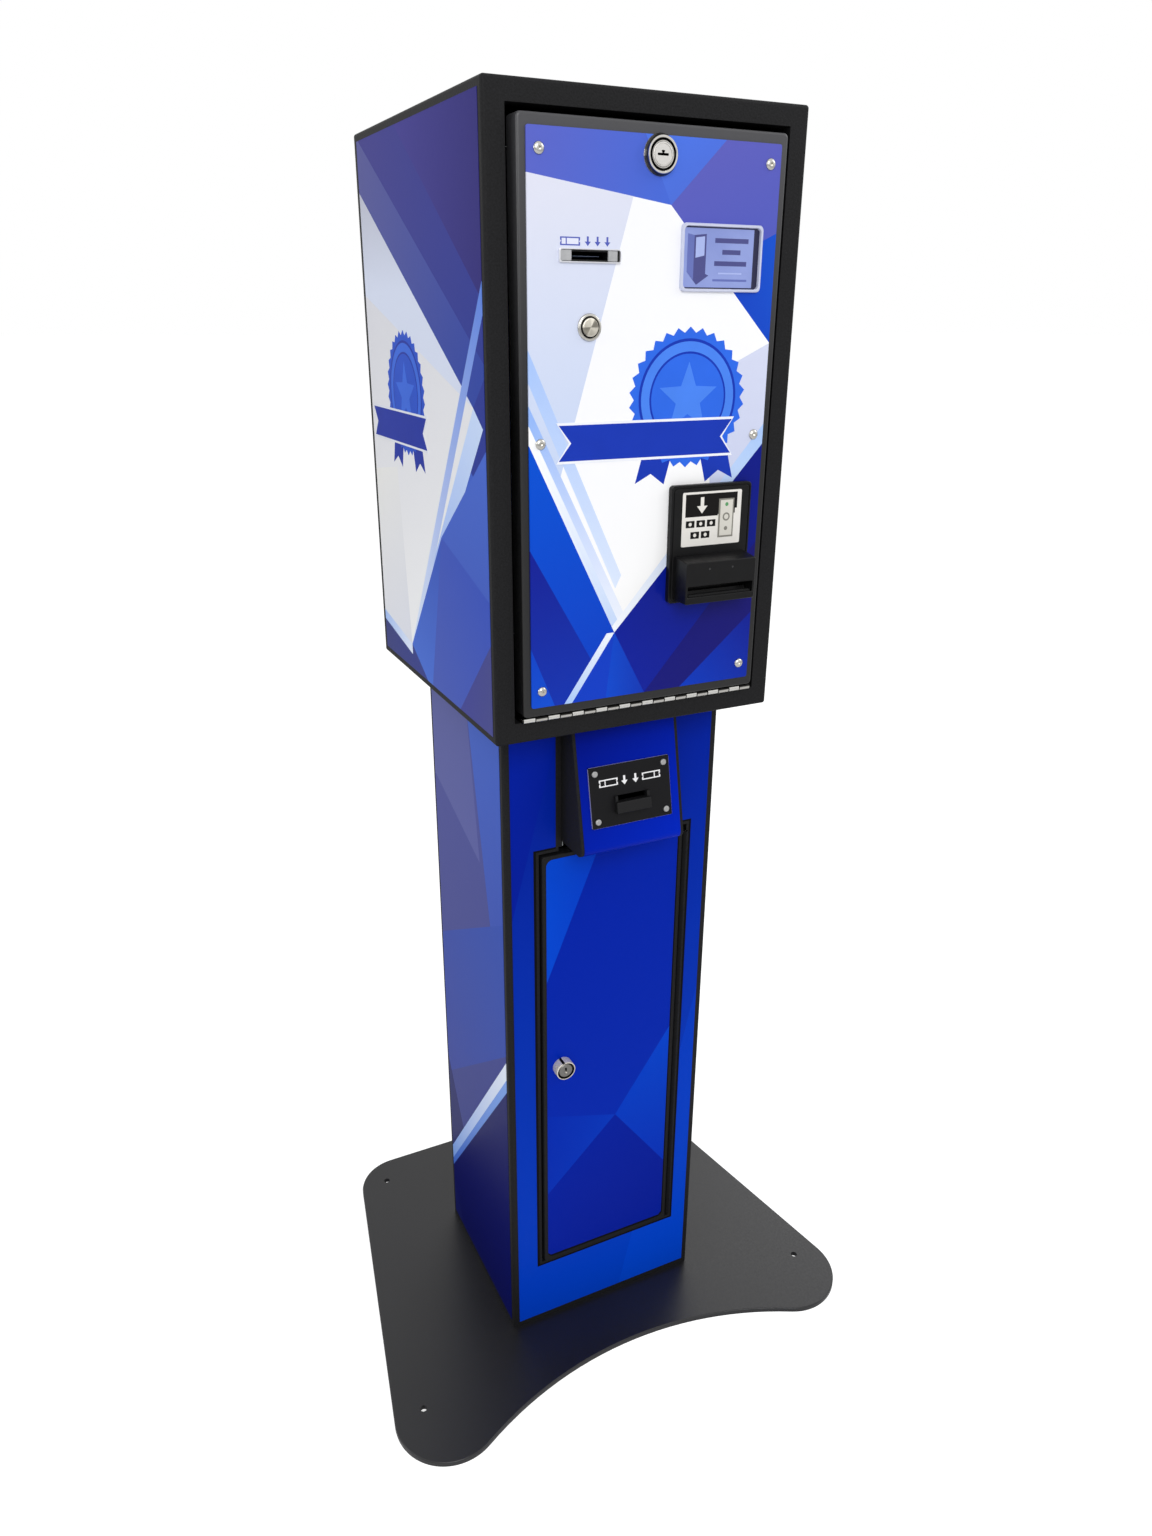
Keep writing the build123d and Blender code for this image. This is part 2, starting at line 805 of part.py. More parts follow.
# Cam locks, shared by both doors
def lock_body(cx, cz, face_y, flange, proud, bevel, barrel, plug, length):
    """Flange outside, threaded barrel inside, and a bore for the plug."""
    body = rod(flange, (cx, face_y, cz), (0, -1, 0), proud)
    body = chamfer(body.faces().sort_by(Axis.Y)[0].edges(), bevel)
    body += rod(barrel, (cx, face_y, cz), (0, 1, 0), length)
    return body - rod(plug + lock_fit, (cx, face_y - proud, cz), (0, 1, 0), length + proud)


def lock_nut(cx, cz, seat_y, barrel):
    nut = hexagon(barrel + lock_nut_margin, (cx, seat_y, cz), (0, 1, 0), lock_nut_height)
    return nut - rod(barrel + tapped_fit, (cx, seat_y, cz), (0, 1, 0), lock_nut_height)


def lock_plug(cx, cz, face_y, proud, plug, length, keyway_along_x):
    """The part that turns with the key, with its keyway and the tail that carries the cam."""
    front = face_y - proud
    body = rod(plug, (cx, front, cz), (0, 1, 0), length + proud)
    body += rod(tail_radius, (cx, face_y + length, cz), (0, 1, 0), cam_gap + tail_length)
    across, along = (keyway_length, keyway_width) if keyway_along_x else (keyway_width, keyway_length)
    return body - block(
        cx - across / 2, cx + across / 2, front, front + keyway_depth, cz - along / 2, cz + along / 2
    )


def lock_cam(cx, cz, face_y, length, direction):
    """A flat tongue on the tail of the plug."""
    y0 = face_y + length + cam_gap
    plane = Plane(origin=(cx, y0, cz), x_dir=direction, z_dir=(0, 1, 0))
    outline = plane * Pos((cam_length - cam_width / 2) / 2, 0) * SlotOverall(
        cam_length + cam_width / 2, cam_width
    )
    return extrude(outline, cam_thickness) - rod(
        tail_radius + tapped_fit, (cx, y0, cz), (0, 1, 0), cam_thickness
    )


# Pedestal door
def pedestal_door():
    width = pedestal_door_right - pedestal_door_left
    height = pedestal_door_top - pedestal_door_bottom
    cx = (pedestal_door_left + pedestal_door_right) / 2
    cz = (pedestal_door_bottom + pedestal_door_top) / 2
    back = pedestal_door_front + pedestal_door_depth
    pan = front_plate(cx, cz, width, height, pedestal_door_corner, pedestal_door_front, back)
    pan = fillet(pan.faces().sort_by(Axis.Y)[0].edges(), sheet / 2)
    inner_corner = pedestal_door_corner - sheet / 2
    pan -= front_plate(
        cx, cz, width - 2 * sheet, height - 2 * sheet, inner_corner, pedestal_door_inner, back
    )
    lock_hole = rod(
        pedestal_lock_barrel + bolt_clearance, (
            pedestal_lock_x, pedestal_door_front, pedestal_lock_z
        ), (0, 1, 0), sheet
    )
    return pan - lock_hole


def pedestal_door_graphic():
    border = pedestal_graphic_border
    width = pedestal_door_right - pedestal_door_left - 2 * border
    height = pedestal_door_top - pedestal_door_bottom - 2 * border
    cx = (pedestal_door_left + pedestal_door_right) / 2
    cz = (pedestal_door_bottom + pedestal_door_top) / 2
    y0 = pedestal_door_front - vinyl
    film = front_plate(cx, cz, width, height, pedestal_graphic_corner, y0, pedestal_door_front)
    return film - rod(
        pedestal_lock_flange + bolt_clearance, (pedestal_lock_x, y0, pedestal_lock_z), (0, 1, 0), vinyl
    )


# Cabinet
def cabinet_shell():
    half = cabinet_width / 2
    outer = block(-half, half, cabinet_front_y, cabinet_back_y, column_top_z, cabinet_top_z)
    outer = fillet(outer.edges().filter_by(Axis.Y) + outer.faces().sort_by(Axis.Y)[0].edges(), bend_radius)
    inner_half = half - sheet
    inner = block(
        -inner_half, inner_half, cabinet_front_y + sheet, cabinet_back_y, column_top_z + sheet,
        cabinet_top_z - sheet
    )
    shell = outer - inner
    flange_back = cabinet_front_y + frame_return
    shell += block(
        -opening_half - sheet, opening_half + sheet, cabinet_front_y + sheet, flange_back,
        opening_bottom_z - sheet, opening_top_z + sheet,
    )
    shell -= block(
        -opening_half, opening_half, cabinet_front_y, flange_back, opening_bottom_z, opening_top_z
    )
    for x, y in flange_bolt_places():
        shell -= rod(bolt_radius + bolt_clearance, (x, y, column_top_z), (0, 0, 1), sheet)
    shell -= rod(
        cable_hole_radius, (0, (column_front_y + column_back_y) / 2, column_top_z), (0, 0, 1), sheet
    )
    for x, z in panel_screw_places():
        lug_z0, lug_z1 = sorted(
            (z - math.copysign(panel_flange / 2, z - cabinet_middle_z()), lug_wall_z(z))
        )
        lug = block(
            x - panel_flange / 2, x + panel_flange / 2, cabinet_back_y - 2 * sheet, cabinet_back_y - sheet,
            lug_z0, lug_z1
        )
        shell += lug - rod(panel_screw_radius + tapped_fit, (x, cabinet_back_y, z), (0, -1, 0), 3 * sheet)
    return shell


def cabinet_middle_z():
    return (column_top_z + cabinet_top_z) / 2


def lug_wall_z(z):
    """The inner face of the top or bottom wall, whichever a back screw is next to."""
    return cabinet_top_z - sheet if z > cabinet_middle_z() else column_top_z + sheet


def panel_screw_places():
    half = cabinet_width / 2 - sheet - panel_screw_inset
    low = column_top_z + sheet + panel_screw_inset
    high = cabinet_top_z - sheet - panel_screw_inset
    return [(-half, low), (half, low), (-half, high), (half, high)]


def cabinet_back():
    half = cabinet_width / 2 - sheet - bolt_clearance
    z0 = column_top_z + sheet + bolt_clearance
    z1 = cabinet_top_z - sheet - bolt_clearance
    panel = block(-half, half, cabinet_back_y - sheet, cabinet_back_y, z0, z1)
    for x, z in panel_screw_places():
        panel -= rod(panel_screw_radius + bolt_clearance, (x, cabinet_back_y, z), (0, -1, 0), sheet)
    z = column_top_z + inlet_above_floor
    panel -= block(
        inlet_x - inlet_width / 2 + inlet_flange, inlet_x + inlet_width / 2 - inlet_flange,
        cabinet_back_y - sheet, cabinet_back_y,
        z - inlet_height / 2 + inlet_flange, z + inlet_height / 2 - inlet_flange,
    )
    return panel


def back_screws():
    return [
        button_screw(
            x, cabinet_back_y, z, (0, 1, 0), panel_screw_radius, panel_screw_head, panel_screw_head_height,
            3 * sheet
        )
        for x, z in panel_screw_places()
    ]


def cabinet_graphics():
    half = cabinet_width / 2
    border = cabinet_wrap_border
    y0 = cabinet_front_y + border
    y1 = cabinet_back_y - border
    z0 = column_top_z + border
    z1 = cabinet_top_z - border
    return [block(-half - vinyl, -half, y0, y1, z0, z1), block(half, half + vinyl, y0, y1, z0, z1)]


def cabinet_fixings():
    pieces = []
    under = column_top_z - thick_sheet
    top = column_top_z + sheet
    for x, y in flange_bolt_places():
        head = hexagon(bolt_head_radius, (x, y, top), (0, 0, 1), bolt_head_height)
        reach = top - under + nut_height + bolt_beyond_nut
        pieces.append(head + rod(bolt_radius, (x, y, top), (0, 0, -1), reach))
        nut = hexagon(bolt_head_radius, (x, y, under), (0, 0, -1), nut_height)
        pieces.append(nut - rod(bolt_radius + tapped_fit, (x, y, under), (0, 0, -1), nut_height))
    return pieces


# Head door
def head_door():
    height = head_door_top - head_door_bottom
    cz = (head_door_top + head_door_bottom) / 2
    back = head_door_front + head_door_depth
    pan = front_plate(0, cz, 2 * head_door_half, height, head_door_corner, head_door_front, back)
    pan = fillet(pan.faces().sort_by(Axis.Y)[0].edges(), head_door_edge)
    inner_corner = head_door_corner - sheet / 2
    pan -= front_plate(
        0, cz, 2 * (head_door_half - sheet), height - 2 * sheet, inner_corner, head_door_inner, back
    )
    for cut in door_cuts(head_door_front, head_door_inner):
        pan -= cut
    for x, z in graphic_screw_places():
        pan -= rod(graphic_screw_radius + tapped_fit, (x, head_door_front, z), (0, 1, 0), sheet)
    return pan


def door_cuts(y0, y1):
    """Holes for everything that passes through the door and its graphic panel."""
    depth = y1 - y0
    throat_w = exit_opening_width + 2 * exit_throat_wall + 2 * bolt_clearance
    throat_h = exit_opening_height + 2 * exit_throat_wall + 2 * bolt_clearance
    window_w = display_window_width - 2 * display_rim
    window_h = display_window_height - 2 * display_rim
    bill_w = bill_slot_width + 2 * bill_slot_clearance
    bill_h = bill_slot_height
    return [
        rod(head_lock_barrel + bolt_clearance, (0, y0, head_lock_z), (0, 1, 0), depth),
        rod(button_barrel_radius + bolt_clearance, (button_x, y0, button_z), (0, 1, 0), depth),
        block(
            ticket_x - throat_w / 2, ticket_x + throat_w / 2, y0, y1, ticket_z - throat_h / 2,
            ticket_z + throat_h / 2
        ),
        block(
            display_x - window_w / 2, display_x + window_w / 2, y0, y1, display_z - window_h / 2,
            display_z + window_h / 2
        ),
        block(
            bill_x - bill_w / 2, bill_x + bill_w / 2, y0, y1, bill_slot_z - bill_h / 2,
            bill_slot_z + bill_h / 2
        ),
    ]


def graphic_screw_places():
    low = graphic_bottom + graphic_screw_end
    high = graphic_top - graphic_screw_end
    x = graphic_half - graphic_screw_inset
    return [(side * x, z) for z in (low, (low + high) / 2, high) for side in (-1, 1)]


def door_graphic():
    height = graphic_top - graphic_bottom
    cz = (graphic_top + graphic_bottom) / 2
    panel = front_plate(0, cz, 2 * graphic_half, height, graphic_corner, graphic_front, head_door_front)
    for cut in door_cuts(graphic_front, head_door_front):
        panel -= cut
    for x, z in graphic_screw_places():
        panel -= rod(graphic_screw_radius + bolt_clearance, (x, graphic_front, z), (0, 1, 0), graphic_panel)
    return panel


def door_graphic_screws():
    return [
        button_screw(
            x, graphic_front, z, (0, -1, 0), graphic_screw_radius, graphic_screw_head,
            graphic_screw_head_height, graphic_panel + sheet + graphic_screw_tip,
        )
        for x, z in graphic_screw_places()
    ]


# Push button on the head door
def button_housing():
    body = rod(button_flange_radius, (button_x, graphic_front, button_z), (0, -1, 0), button_flange_height)
    body = chamfer(body.faces().sort_by(Axis.Y)[0].edges(), button_flange_bevel)
    body += rod(button_barrel_radius, (button_x, graphic_front, button_z), (0, 1, 0), button_length)
    well = graphic_front - button_flange_height
    return body - rod(
        button_cap_radius + button_fit, (button_x, well, button_z), (0, 1, 0),
        button_flange_height + button_well
    )


def button_cap():
    front = graphic_front - button_flange_height - button_cap_height
    length = button_cap_height + button_flange_height + button_well - button_travel - 2 * button_fit
    cap = rod(button_cap_radius, (button_x, front, button_z), (0, 1, 0), length)
    return fillet(cap.faces().sort_by(Axis.Y)[0].edges(), button_cap_edge)


def button_nut():
    nut = hexagon(
        button_barrel_radius + button_nut_margin, (button_x, head_door_inner, button_z), (0, 1, 0),
        button_nut_height
    )
    return nut - rod(
        button_barrel_radius + tapped_fit, (button_x, head_door_inner, button_z), (0, 1, 0),
        button_nut_height
    )


# Ticket exit and feed
def ticket_exit_bezel():
    y0 = graphic_front - exit_bezel_proud
    bezel = front_plate(
        ticket_x, ticket_z, exit_bezel_width, exit_bezel_height, exit_bezel_corner, y0, graphic_front
    )
    bezel = fillet(bezel.faces().sort_by(Axis.Y)[0].edges(), exit_bezel_edge)
    half_w = exit_opening_width / 2
    half_h = exit_opening_height / 2
    back = head_door_inner + exit_throat_depth
    wall = exit_throat_wall
    bezel += block(
        ticket_x - half_w - wall, ticket_x + half_w + wall, graphic_front, back,
        ticket_z - half_h - wall, ticket_z + half_h + wall,
    )
    return bezel - block(
        ticket_x - half_w, ticket_x + half_w, y0, back, ticket_z - half_h, ticket_z + half_h
    )


def feed_chassis():
    """A U-shaped bracket with feet on the door and the roller shafts through its cheeks."""
    z0 = ticket_z - chassis_half_height
    z1 = ticket_z + chassis_half_height
    frame = block(
        ticket_x - chassis_half_gap, ticket_x + chassis_half_gap, chassis_front_y, chassis_back_y,
        z0, z0 + chassis_sheet,
    )
    for side in (-1, 1):
        inner = ticket_x + side * chassis_half_gap
        outer = inner + side * chassis_sheet
        x0, x1 = sorted((inner, outer))
        frame += block(x0, x1, head_door_inner, chassis_back_y, z0, z1)
    foot_x = ticket_x + chassis_half_gap
    frame += block(foot_x, foot_x + leaf_width, head_door_inner, head_door_inner + chassis_sheet, z0, z1)
    start = ticket_x - chassis_half_gap - chassis_sheet
    span = 2 * (chassis_half_gap + chassis_sheet)
    for z in (drive_roller_z, idler_roller_z):
        frame -= rod(roller_shaft_radius + shaft_fit, (start, roller_y, z), (1, 0, 0), span)
    return frame


def roller(radius, z, start_x, end_x):
    tyre = rod(radius, (ticket_x - roller_width / 2, roller_y, z), (1, 0, 0), roller_width)
    return tyre + rod(roller_shaft_radius, (start_x, roller_y, z), (1, 0, 0), end_x - start_x)


def drive_roller():
    outer = chassis_half_gap + chassis_sheet
    start = ticket_x - outer - motor_bore_depth + shaft_end_gap
    return roller(roller_radius, drive_roller_z, start, ticket_x + outer + shaft_overhang)


def idler_roller():
    outer = chassis_half_gap + chassis_sheet + shaft_overhang
    start = ticket_x - chassis_half_gap - chassis_sheet + shaft_end_inset
    return roller(roller_radius, idler_roller_z, start, ticket_x + outer)


def feed_motor():
    face = ticket_x - chassis_half_gap - chassis_sheet
    half = motor_size / 2
    body = block(
        face - motor_length, face, roller_y - half, roller_y + half, drive_roller_z - half,
        drive_roller_z + half
    )
    body = chamfer(body.edges().filter_by(Axis.X), motor_corner)
    return body - rod(
        roller_shaft_radius + shaft_fit, (face, roller_y, drive_roller_z), (-1, 0, 0), motor_bore_depth
    )


def bent_strip(top_z, bend, start_y, thickness, width, end_z):
    """Runs back level, then turns down round a quarter bend, with its outer side on the given lines."""
    back_y = strip_back_y + thickness
    outer = bend + thickness
    level = block(
        ticket_x - width / 2, ticket_x + width / 2, start_y, back_y - outer, top_z - thickness, top_z
    )
    drop = block(
        ticket_x - width / 2, ticket_x + width / 2, back_y - thickness, back_y, end_z, top_z - outer
    )
    turn = tube(outer, bend, (ticket_x - width / 2, back_y - outer, top_z - outer), (1, 0, 0), width)
    turn &= block(ticket_x - width / 2, ticket_x + width / 2, back_y - outer, back_y, top_z - outer, top_z)
    return level + turn + drop


def ticket_strip():
    top = ticket_z + ticket_thickness / 2
    start = chassis_front_y
    return bent_strip(
        top, guide_bend_radius + guide_sheet + guide_gap, start, ticket_thickness, ticket_width, roll_z
    )


def ticket_guide():
    """The tray that the ticket strip slides on, bent down at the back."""
    top = ticket_z - ticket_thickness / 2 - guide_gap
    width = roller_width + 2 * guide_margin
    strip = bent_strip(
        top, guide_bend_radius, chassis_back_y - guide_overlap, guide_sheet, width,
        top - guide_bend_radius - guide_tail
    )
    tray = Pos(0, -guide_sheet - guide_gap, 0) * strip
    half = chassis_half_gap
    tray += block(
        ticket_x - half, ticket_x + half, chassis_back_y - guide_overlap, chassis_back_y, top - guide_sheet,
        top
    )
    return tray


# Ticket roll below the feed
def roll_bracket():
    """A plate with a foot on the door and a spindle that the roll turns on."""
    near = ticket_x + roll_width / 2 + roll_side_gap
    plate = block(
        near, near + bracket_sheet, head_door_inner, roll_y + bracket_end_margin,
        roll_z - bracket_height / 2, roll_z + bracket_height / 2,
    )
    plate += block(
        near, near + bracket_foot, head_door_inner, head_door_inner + bracket_sheet,
        roll_z - bracket_height / 2, roll_z + bracket_height / 2,
    )
    length = roll_width + 2 * roll_side_gap
    spindle = rod(spindle_radius, (near, roll_y, roll_z), (-1, 0, 0), length)
    stub = rod(tail_radius, (near - length, roll_y, roll_z), (-1, 0, 0), retainer_thickness)
    return plate + spindle + stub


def roll_retainer():
    near = ticket_x - roll_width / 2 - roll_side_gap
    return tube(
        retainer_radius, tail_radius + tapped_fit, (near, roll_y, roll_z), (-1, 0, 0), retainer_thickness
    )


def ticket_roll():
    start = (ticket_x - roll_width / 2, roll_y, roll_z)
    return tube(roll_radius, spindle_radius + spindle_fit, start, (1, 0, 0), roll_width)


# Display
def lcd_window():
    y0 = graphic_front - display_window_proud
    window = front_plate(
        display_x, display_z, display_window_width, display_window_height, display_window_corner, y0,
        graphic_front
    )
    window = fillet(window.faces().sort_by(Axis.Y)[0].edges(), display_window_edge)
    inner_w = display_window_width - 2 * display_rim
    inner_h = display_window_height - 2 * display_rim
    window -= front_plate(
        display_x, display_z, inner_w, inner_h, display_recess_corner, y0, y0 + display_recess
    )
    step = bolt_clearance
    return window + front_plate(
        display_x, display_z, inner_w - 2 * step, inner_h - 2 * step, display_lens_corner,
        graphic_front, head_door_inner
    )


def lcd_module():
    width = display_window_width + 2 * display_module_margin
    height = display_window_height + 2 * display_module_margin
    y1 = head_door_inner + display_module_depth
    corner = display_module_corner
    board = front_plate(display_x, display_z, width, height, corner, head_door_inner, y1)
    rim = display_module_rim
    back_cut = front_plate(
        display_x, display_z, width - 2 * rim, height - 2 * rim, corner, y1 - display_back_recess, y1
    )
    return board - back_cut


# Bill acceptor
def bill_bezel():
    plate_y = graphic_front - bill_plate_proud
    bezel = front_plate(
        bill_x, bill_centre_z, bill_plate_width, bill_plate_height, bill_plate_corner, plate_y,
        graphic_front
    )
    bezel = fillet(bezel.faces().sort_by(Axis.Y)[0].edges(), bill_plate_edge)
    snout_z = bill_bottom_z + snout_above_plate
    front = graphic_front - snout_proud
    half = snout_width / 2
    snout = block(bill_x - half, bill_x + half, front, plate_y, snout_z, snout_z + snout_height)
    snout = fillet(snout.faces().sort_by(Axis.Y)[0].edges() + snout.edges().filter_by(Axis.Y), snout_edge)
    bezel += snout
    slot_half = bill_slot_width / 2
    low = bill_slot_z - bill_slot_height / 2
    bezel -= block(
        bill_x - slot_half, bill_x + slot_half, front, front + bill_mouth_depth, low,
        low + bill_slot_height
    )
    throat = bill_throat_height / 2
    return bezel - block(
        bill_x - slot_half, bill_x + slot_half, front, graphic_front, bill_slot_z - throat,
        bill_slot_z + throat
    )


def bill_label():
    y1 = graphic_front - bill_plate_proud
    top = bill_bottom_z + bill_plate_height - bill_label_below_top
    cz = top - bill_label_height / 2
    return front_plate(
        bill_x, cz, bill_label_width, bill_label_height, bill_label_corner, y1 - bill_label_thickness, y1
    )


def bill_validator():
    half = validator_width / 2
    z0 = validator_bottom_z
    body = block(bill_x - half, bill_x + half, head_door_inner, validator_back_y, z0, z0 + validator_height)
    body = fillet(body.edges().filter_by(Axis.Y), bend_radius)
    slot_half = bill_slot_width / 2
    throat = bill_throat_height / 2
    body -= block(
        bill_x - slot_half, bill_x + slot_half, head_door_inner, head_door_inner + validator_path_depth,
        bill_slot_z - throat, bill_slot_z + throat,
    )
    for side in (-1, 1):
        x0, x1 = sorted((side * (half - rail_width), side * half))
        low = z0 + validator_height / 2
        body += block(
            bill_x + x0, bill_x + x1, validator_back_y, validator_back_y + rail_length, low,
            low + rail_height
        )
    return body


def cash_box():
    """A removable box for the notes, held between two rails behind the validator."""
    half = cash_box_width / 2
    y0 = cash_box_front_y
    y1 = y0 + cash_box_depth
    z0 = validator_bottom_z
    z1 = z0 + cash_box_height
    wall = cash_box_wall
    box = block(bill_x - half, bill_x + half, y0, y1, z0, z1)
    box = fillet(box.edges().filter_by(Axis.Y), bend_radius)
    box -= block(
        bill_x - half + wall + rail_width, bill_x + half - wall - rail_width, y0 + wall, y1 - wall,
        z0 + wall, z1 - wall
    )
    slot_half = bill_slot_width / 2
    slot_low = bill_slot_z - cash_box_slot_height / 2
    box -= block(
        bill_x - slot_half, bill_x + slot_half, y0, y0 + wall, slot_low, slot_low + cash_box_slot_height
    )
    low = z0 + validator_height / 2
    groove = rail_width + cash_box_gap
    for side in (-1, 1):
        x0, x1 = sorted((side * (validator_width / 2 - groove), side * (half + cash_box_gap)))
        box -= block(
            bill_x + x0, bill_x + x1, y0, y0 + rail_length + rail_end_gap, low - cash_box_gap,
            low + rail_height + cash_box_gap
        )
    return box


# Electrics on the back panel
def power_supply():
    half = supply_width / 2
    y1 = cabinet_back_y - sheet
    z0 = column_top_z + supply_bottom
    case = block(supply_x - half, supply_x + half, y1 - supply_depth, y1, z0, z0 + supply_height)
    return chamfer(case.edges().filter_by(Axis.Z), supply_edge)


def control_board():
    half = board_width / 2
    y1 = cabinet_back_y - sheet
    y0 = y1 - standoff_height - board_thickness
    z0 = column_top_z + board_bottom
    board = block(board_x - half, board_x + half, y0, y0 + board_thickness, z0, z0 + board_height)
    for side in (-1, 1):
        for z in (z0 + board_hole_inset, z0 + board_height - board_hole_inset):
            board += rod(
                standoff_radius, (board_x + side * (half - board_hole_inset), y1, z), (0, -1, 0),
                standoff_height
            )
    chip_x = board_x + chip_row_offset
    for row in range(chip_rows):
        low = z0 + chip_row_bottom + row * chip_row_pitch
        board += block(
            chip_x - chip_row_width / 2, chip_x + chip_row_width / 2, y0 - chip_height, y0,
            low, low + chip_row_height
        )
    return board


def power_inlet():
    z = column_top_z + inlet_above_floor
    body = front_plate(
        inlet_x, z, inlet_width, inlet_height, inlet_corner, cabinet_back_y, cabinet_back_y + inlet_flange
    )
    inner_w = inlet_width - 2 * inlet_flange - 2 * bolt_clearance
    inner_h = inlet_height - 2 * inlet_flange - 2 * bolt_clearance
    body += block(
        inlet_x - inner_w / 2, inlet_x + inner_w / 2, cabinet_back_y - inlet_depth, cabinet_back_y,
        z - inner_h / 2, z + inner_h / 2,
    )
    socket_y = cabinet_back_y + inlet_flange
    return body - block(
        inlet_x - inlet_socket_width / 2, inlet_x + inlet_socket_width / 2, socket_y - inlet_socket_depth,
        socket_y,
        z - inlet_socket_height / 2, z + inlet_socket_height / 2,
    )


# The whole dispenser, one entry for each file
def build_parts():
    head_place = head_hinge_place()
    pedestal_place = pedestal_hinge_place()
    head_lock = (0, head_lock_z, graphic_front)
    pedestal_lock = (pedestal_lock_x, pedestal_lock_z, pedestal_door_front)
    return {
        "base_plate": base_plate(),
        "base_bolts": base_bolts(),
        "column_shell": column_shell(),
        "column_foot_flange": column_foot_flange(),
        "column_top_flange": column_top_flange(),
        "column_graphics": column_graphics(),
        "chute_hood": chute_hood(),
        "hood_graphic": hood_graphic(),
        "slot_plate": slot_plate(),
        "slot_lip": slot_lip(),
        "slot_plate_screws": slot_plate_screws(),
        "chute_deflector": chute_deflector(),
        "ticket_bin": ticket_bin(),
        "pedestal_door": pedestal_door(),
        "pedestal_door_graphic": pedestal_door_graphic(),
        "pedestal_hinge_frame_leaf": pedestal_place * hinge_leaf(
            -1, pedestal_knuckles, pedestal_knuckle_length
        ),
        "pedestal_hinge_door_leaf": pedestal_place * hinge_leaf(
            1, pedestal_knuckles, pedestal_knuckle_length
        ),
        "pedestal_hinge_pin": pedestal_place * hinge_pin(pedestal_knuckles, pedestal_knuckle_length),
        "pedestal_lock_body": lock_body(
            *pedestal_lock, pedestal_lock_flange, pedestal_lock_proud, pedestal_lock_bevel,
            pedestal_lock_barrel, pedestal_lock_plug, pedestal_lock_length
        ),
        "pedestal_lock_nut": lock_nut(
            pedestal_lock_x, pedestal_lock_z, pedestal_door_inner, pedestal_lock_barrel
        ),
        "pedestal_lock_plug": lock_plug(
            *pedestal_lock, pedestal_lock_proud, pedestal_lock_plug, pedestal_lock_length, False
        ),
        "pedestal_lock_cam": lock_cam(*pedestal_lock, pedestal_lock_length, (0, 0, -1)),
        "cabinet_shell": cabinet_shell(),
        "cabinet_back": cabinet_back(),
        "back_screws": back_screws(),
        "cabinet_graphics": cabinet_graphics(),
        "cabinet_fixings": cabinet_fixings(),
        "head_door": head_door(),
        "door_graphic": door_graphic(),
        "door_graphic_screws": door_graphic_screws(),
        "head_hinge_frame_leaf": head_place * hinge_leaf(-1, head_knuckles, head_knuckle_length),
        "head_hinge_door_leaf": head_place * hinge_leaf(1, head_knuckles, head_knuckle_length),
        "head_hinge_pin": head_place * hinge_pin(head_knuckles, head_knuckle_length),
        "head_lock_body": lock_body(
            *head_lock, head_lock_flange, head_lock_proud, head_lock_bevel, head_lock_barrel,
            head_lock_plug, head_lock_length
        ),
        "head_lock_nut": lock_nut(0, head_lock_z, head_door_inner, head_lock_barrel),
        "head_lock_plug": lock_plug(
            *head_lock, head_lock_proud, head_lock_plug, head_lock_length, True
        ),
        "head_lock_cam": lock_cam(*head_lock, head_lock_length, (-1, 0, 0)),
        "button_housing": button_housing(),
        "button_nut": button_nut(),
        "button_cap": button_cap(),
        "ticket_exit_bezel": ticket_exit_bezel(),
        "feed_chassis": feed_chassis(),
        "drive_roller": drive_roller(),
        "idler_roller": idler_roller(),
        "feed_motor": feed_motor(),
        "ticket_guide": ticket_guide(),
        "ticket_strip": ticket_strip(),
        "roll_bracket": roll_bracket(),
        "roll_retainer": roll_retainer(),
        "ticket_roll": ticket_roll(),
        "lcd_window": lcd_window(),
        "lcd_module": lcd_module(),
        "bill_bezel": bill_bezel(),
        "bill_label": bill_label(),
        "bill_validator": bill_validator(),
        "cash_box": cash_box(),
        "power_supply": power_supply(),
        "control_board": control_board(),
        "power_inlet": power_inlet(),
    }


def write_parts(parts):
    os.makedirs("parts", exist_ok=True)
    for name, shape in parts.items():
        solids = shape if isinstance(shape, list) else list(shape.solids())
        export_step(Compound(children=solids) if len(solids) > 1 else solids[0], f"parts/{name}.step")


write_parts(build_parts())
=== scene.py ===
import math
import bmesh
import bpy
from mathutils import Matrix, Vector


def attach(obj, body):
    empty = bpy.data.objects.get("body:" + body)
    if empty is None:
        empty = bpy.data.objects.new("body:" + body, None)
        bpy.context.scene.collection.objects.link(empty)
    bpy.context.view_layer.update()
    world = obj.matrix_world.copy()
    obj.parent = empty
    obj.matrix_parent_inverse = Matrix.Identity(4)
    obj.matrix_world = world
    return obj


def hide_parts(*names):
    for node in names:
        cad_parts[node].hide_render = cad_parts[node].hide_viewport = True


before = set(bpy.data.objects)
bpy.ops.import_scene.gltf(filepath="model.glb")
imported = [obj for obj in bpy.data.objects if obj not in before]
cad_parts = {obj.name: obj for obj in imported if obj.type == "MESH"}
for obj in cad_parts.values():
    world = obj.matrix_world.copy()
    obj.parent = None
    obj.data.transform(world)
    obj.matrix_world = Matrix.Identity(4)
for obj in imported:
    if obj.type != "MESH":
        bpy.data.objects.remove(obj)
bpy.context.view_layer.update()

# Camera
# A wide phone camera held at about eye level, off the machine's left front corner and looking
# down along it. Its place and lens come from a fit to the machine's straight edges.
eye = Vector((-0.5060, -1.0610, 1.20565))
right = Vector((0.9001406, -0.43556574, 0.00542017))
above = Vector((0.16282, 0.34797, 0.92326))
ahead = Vector((0.40402532, 0.83017886, -0.38414399))
lens = bpy.data.cameras.new("camera")
lens.lens = 25.72
lens.sensor_width = 36.0
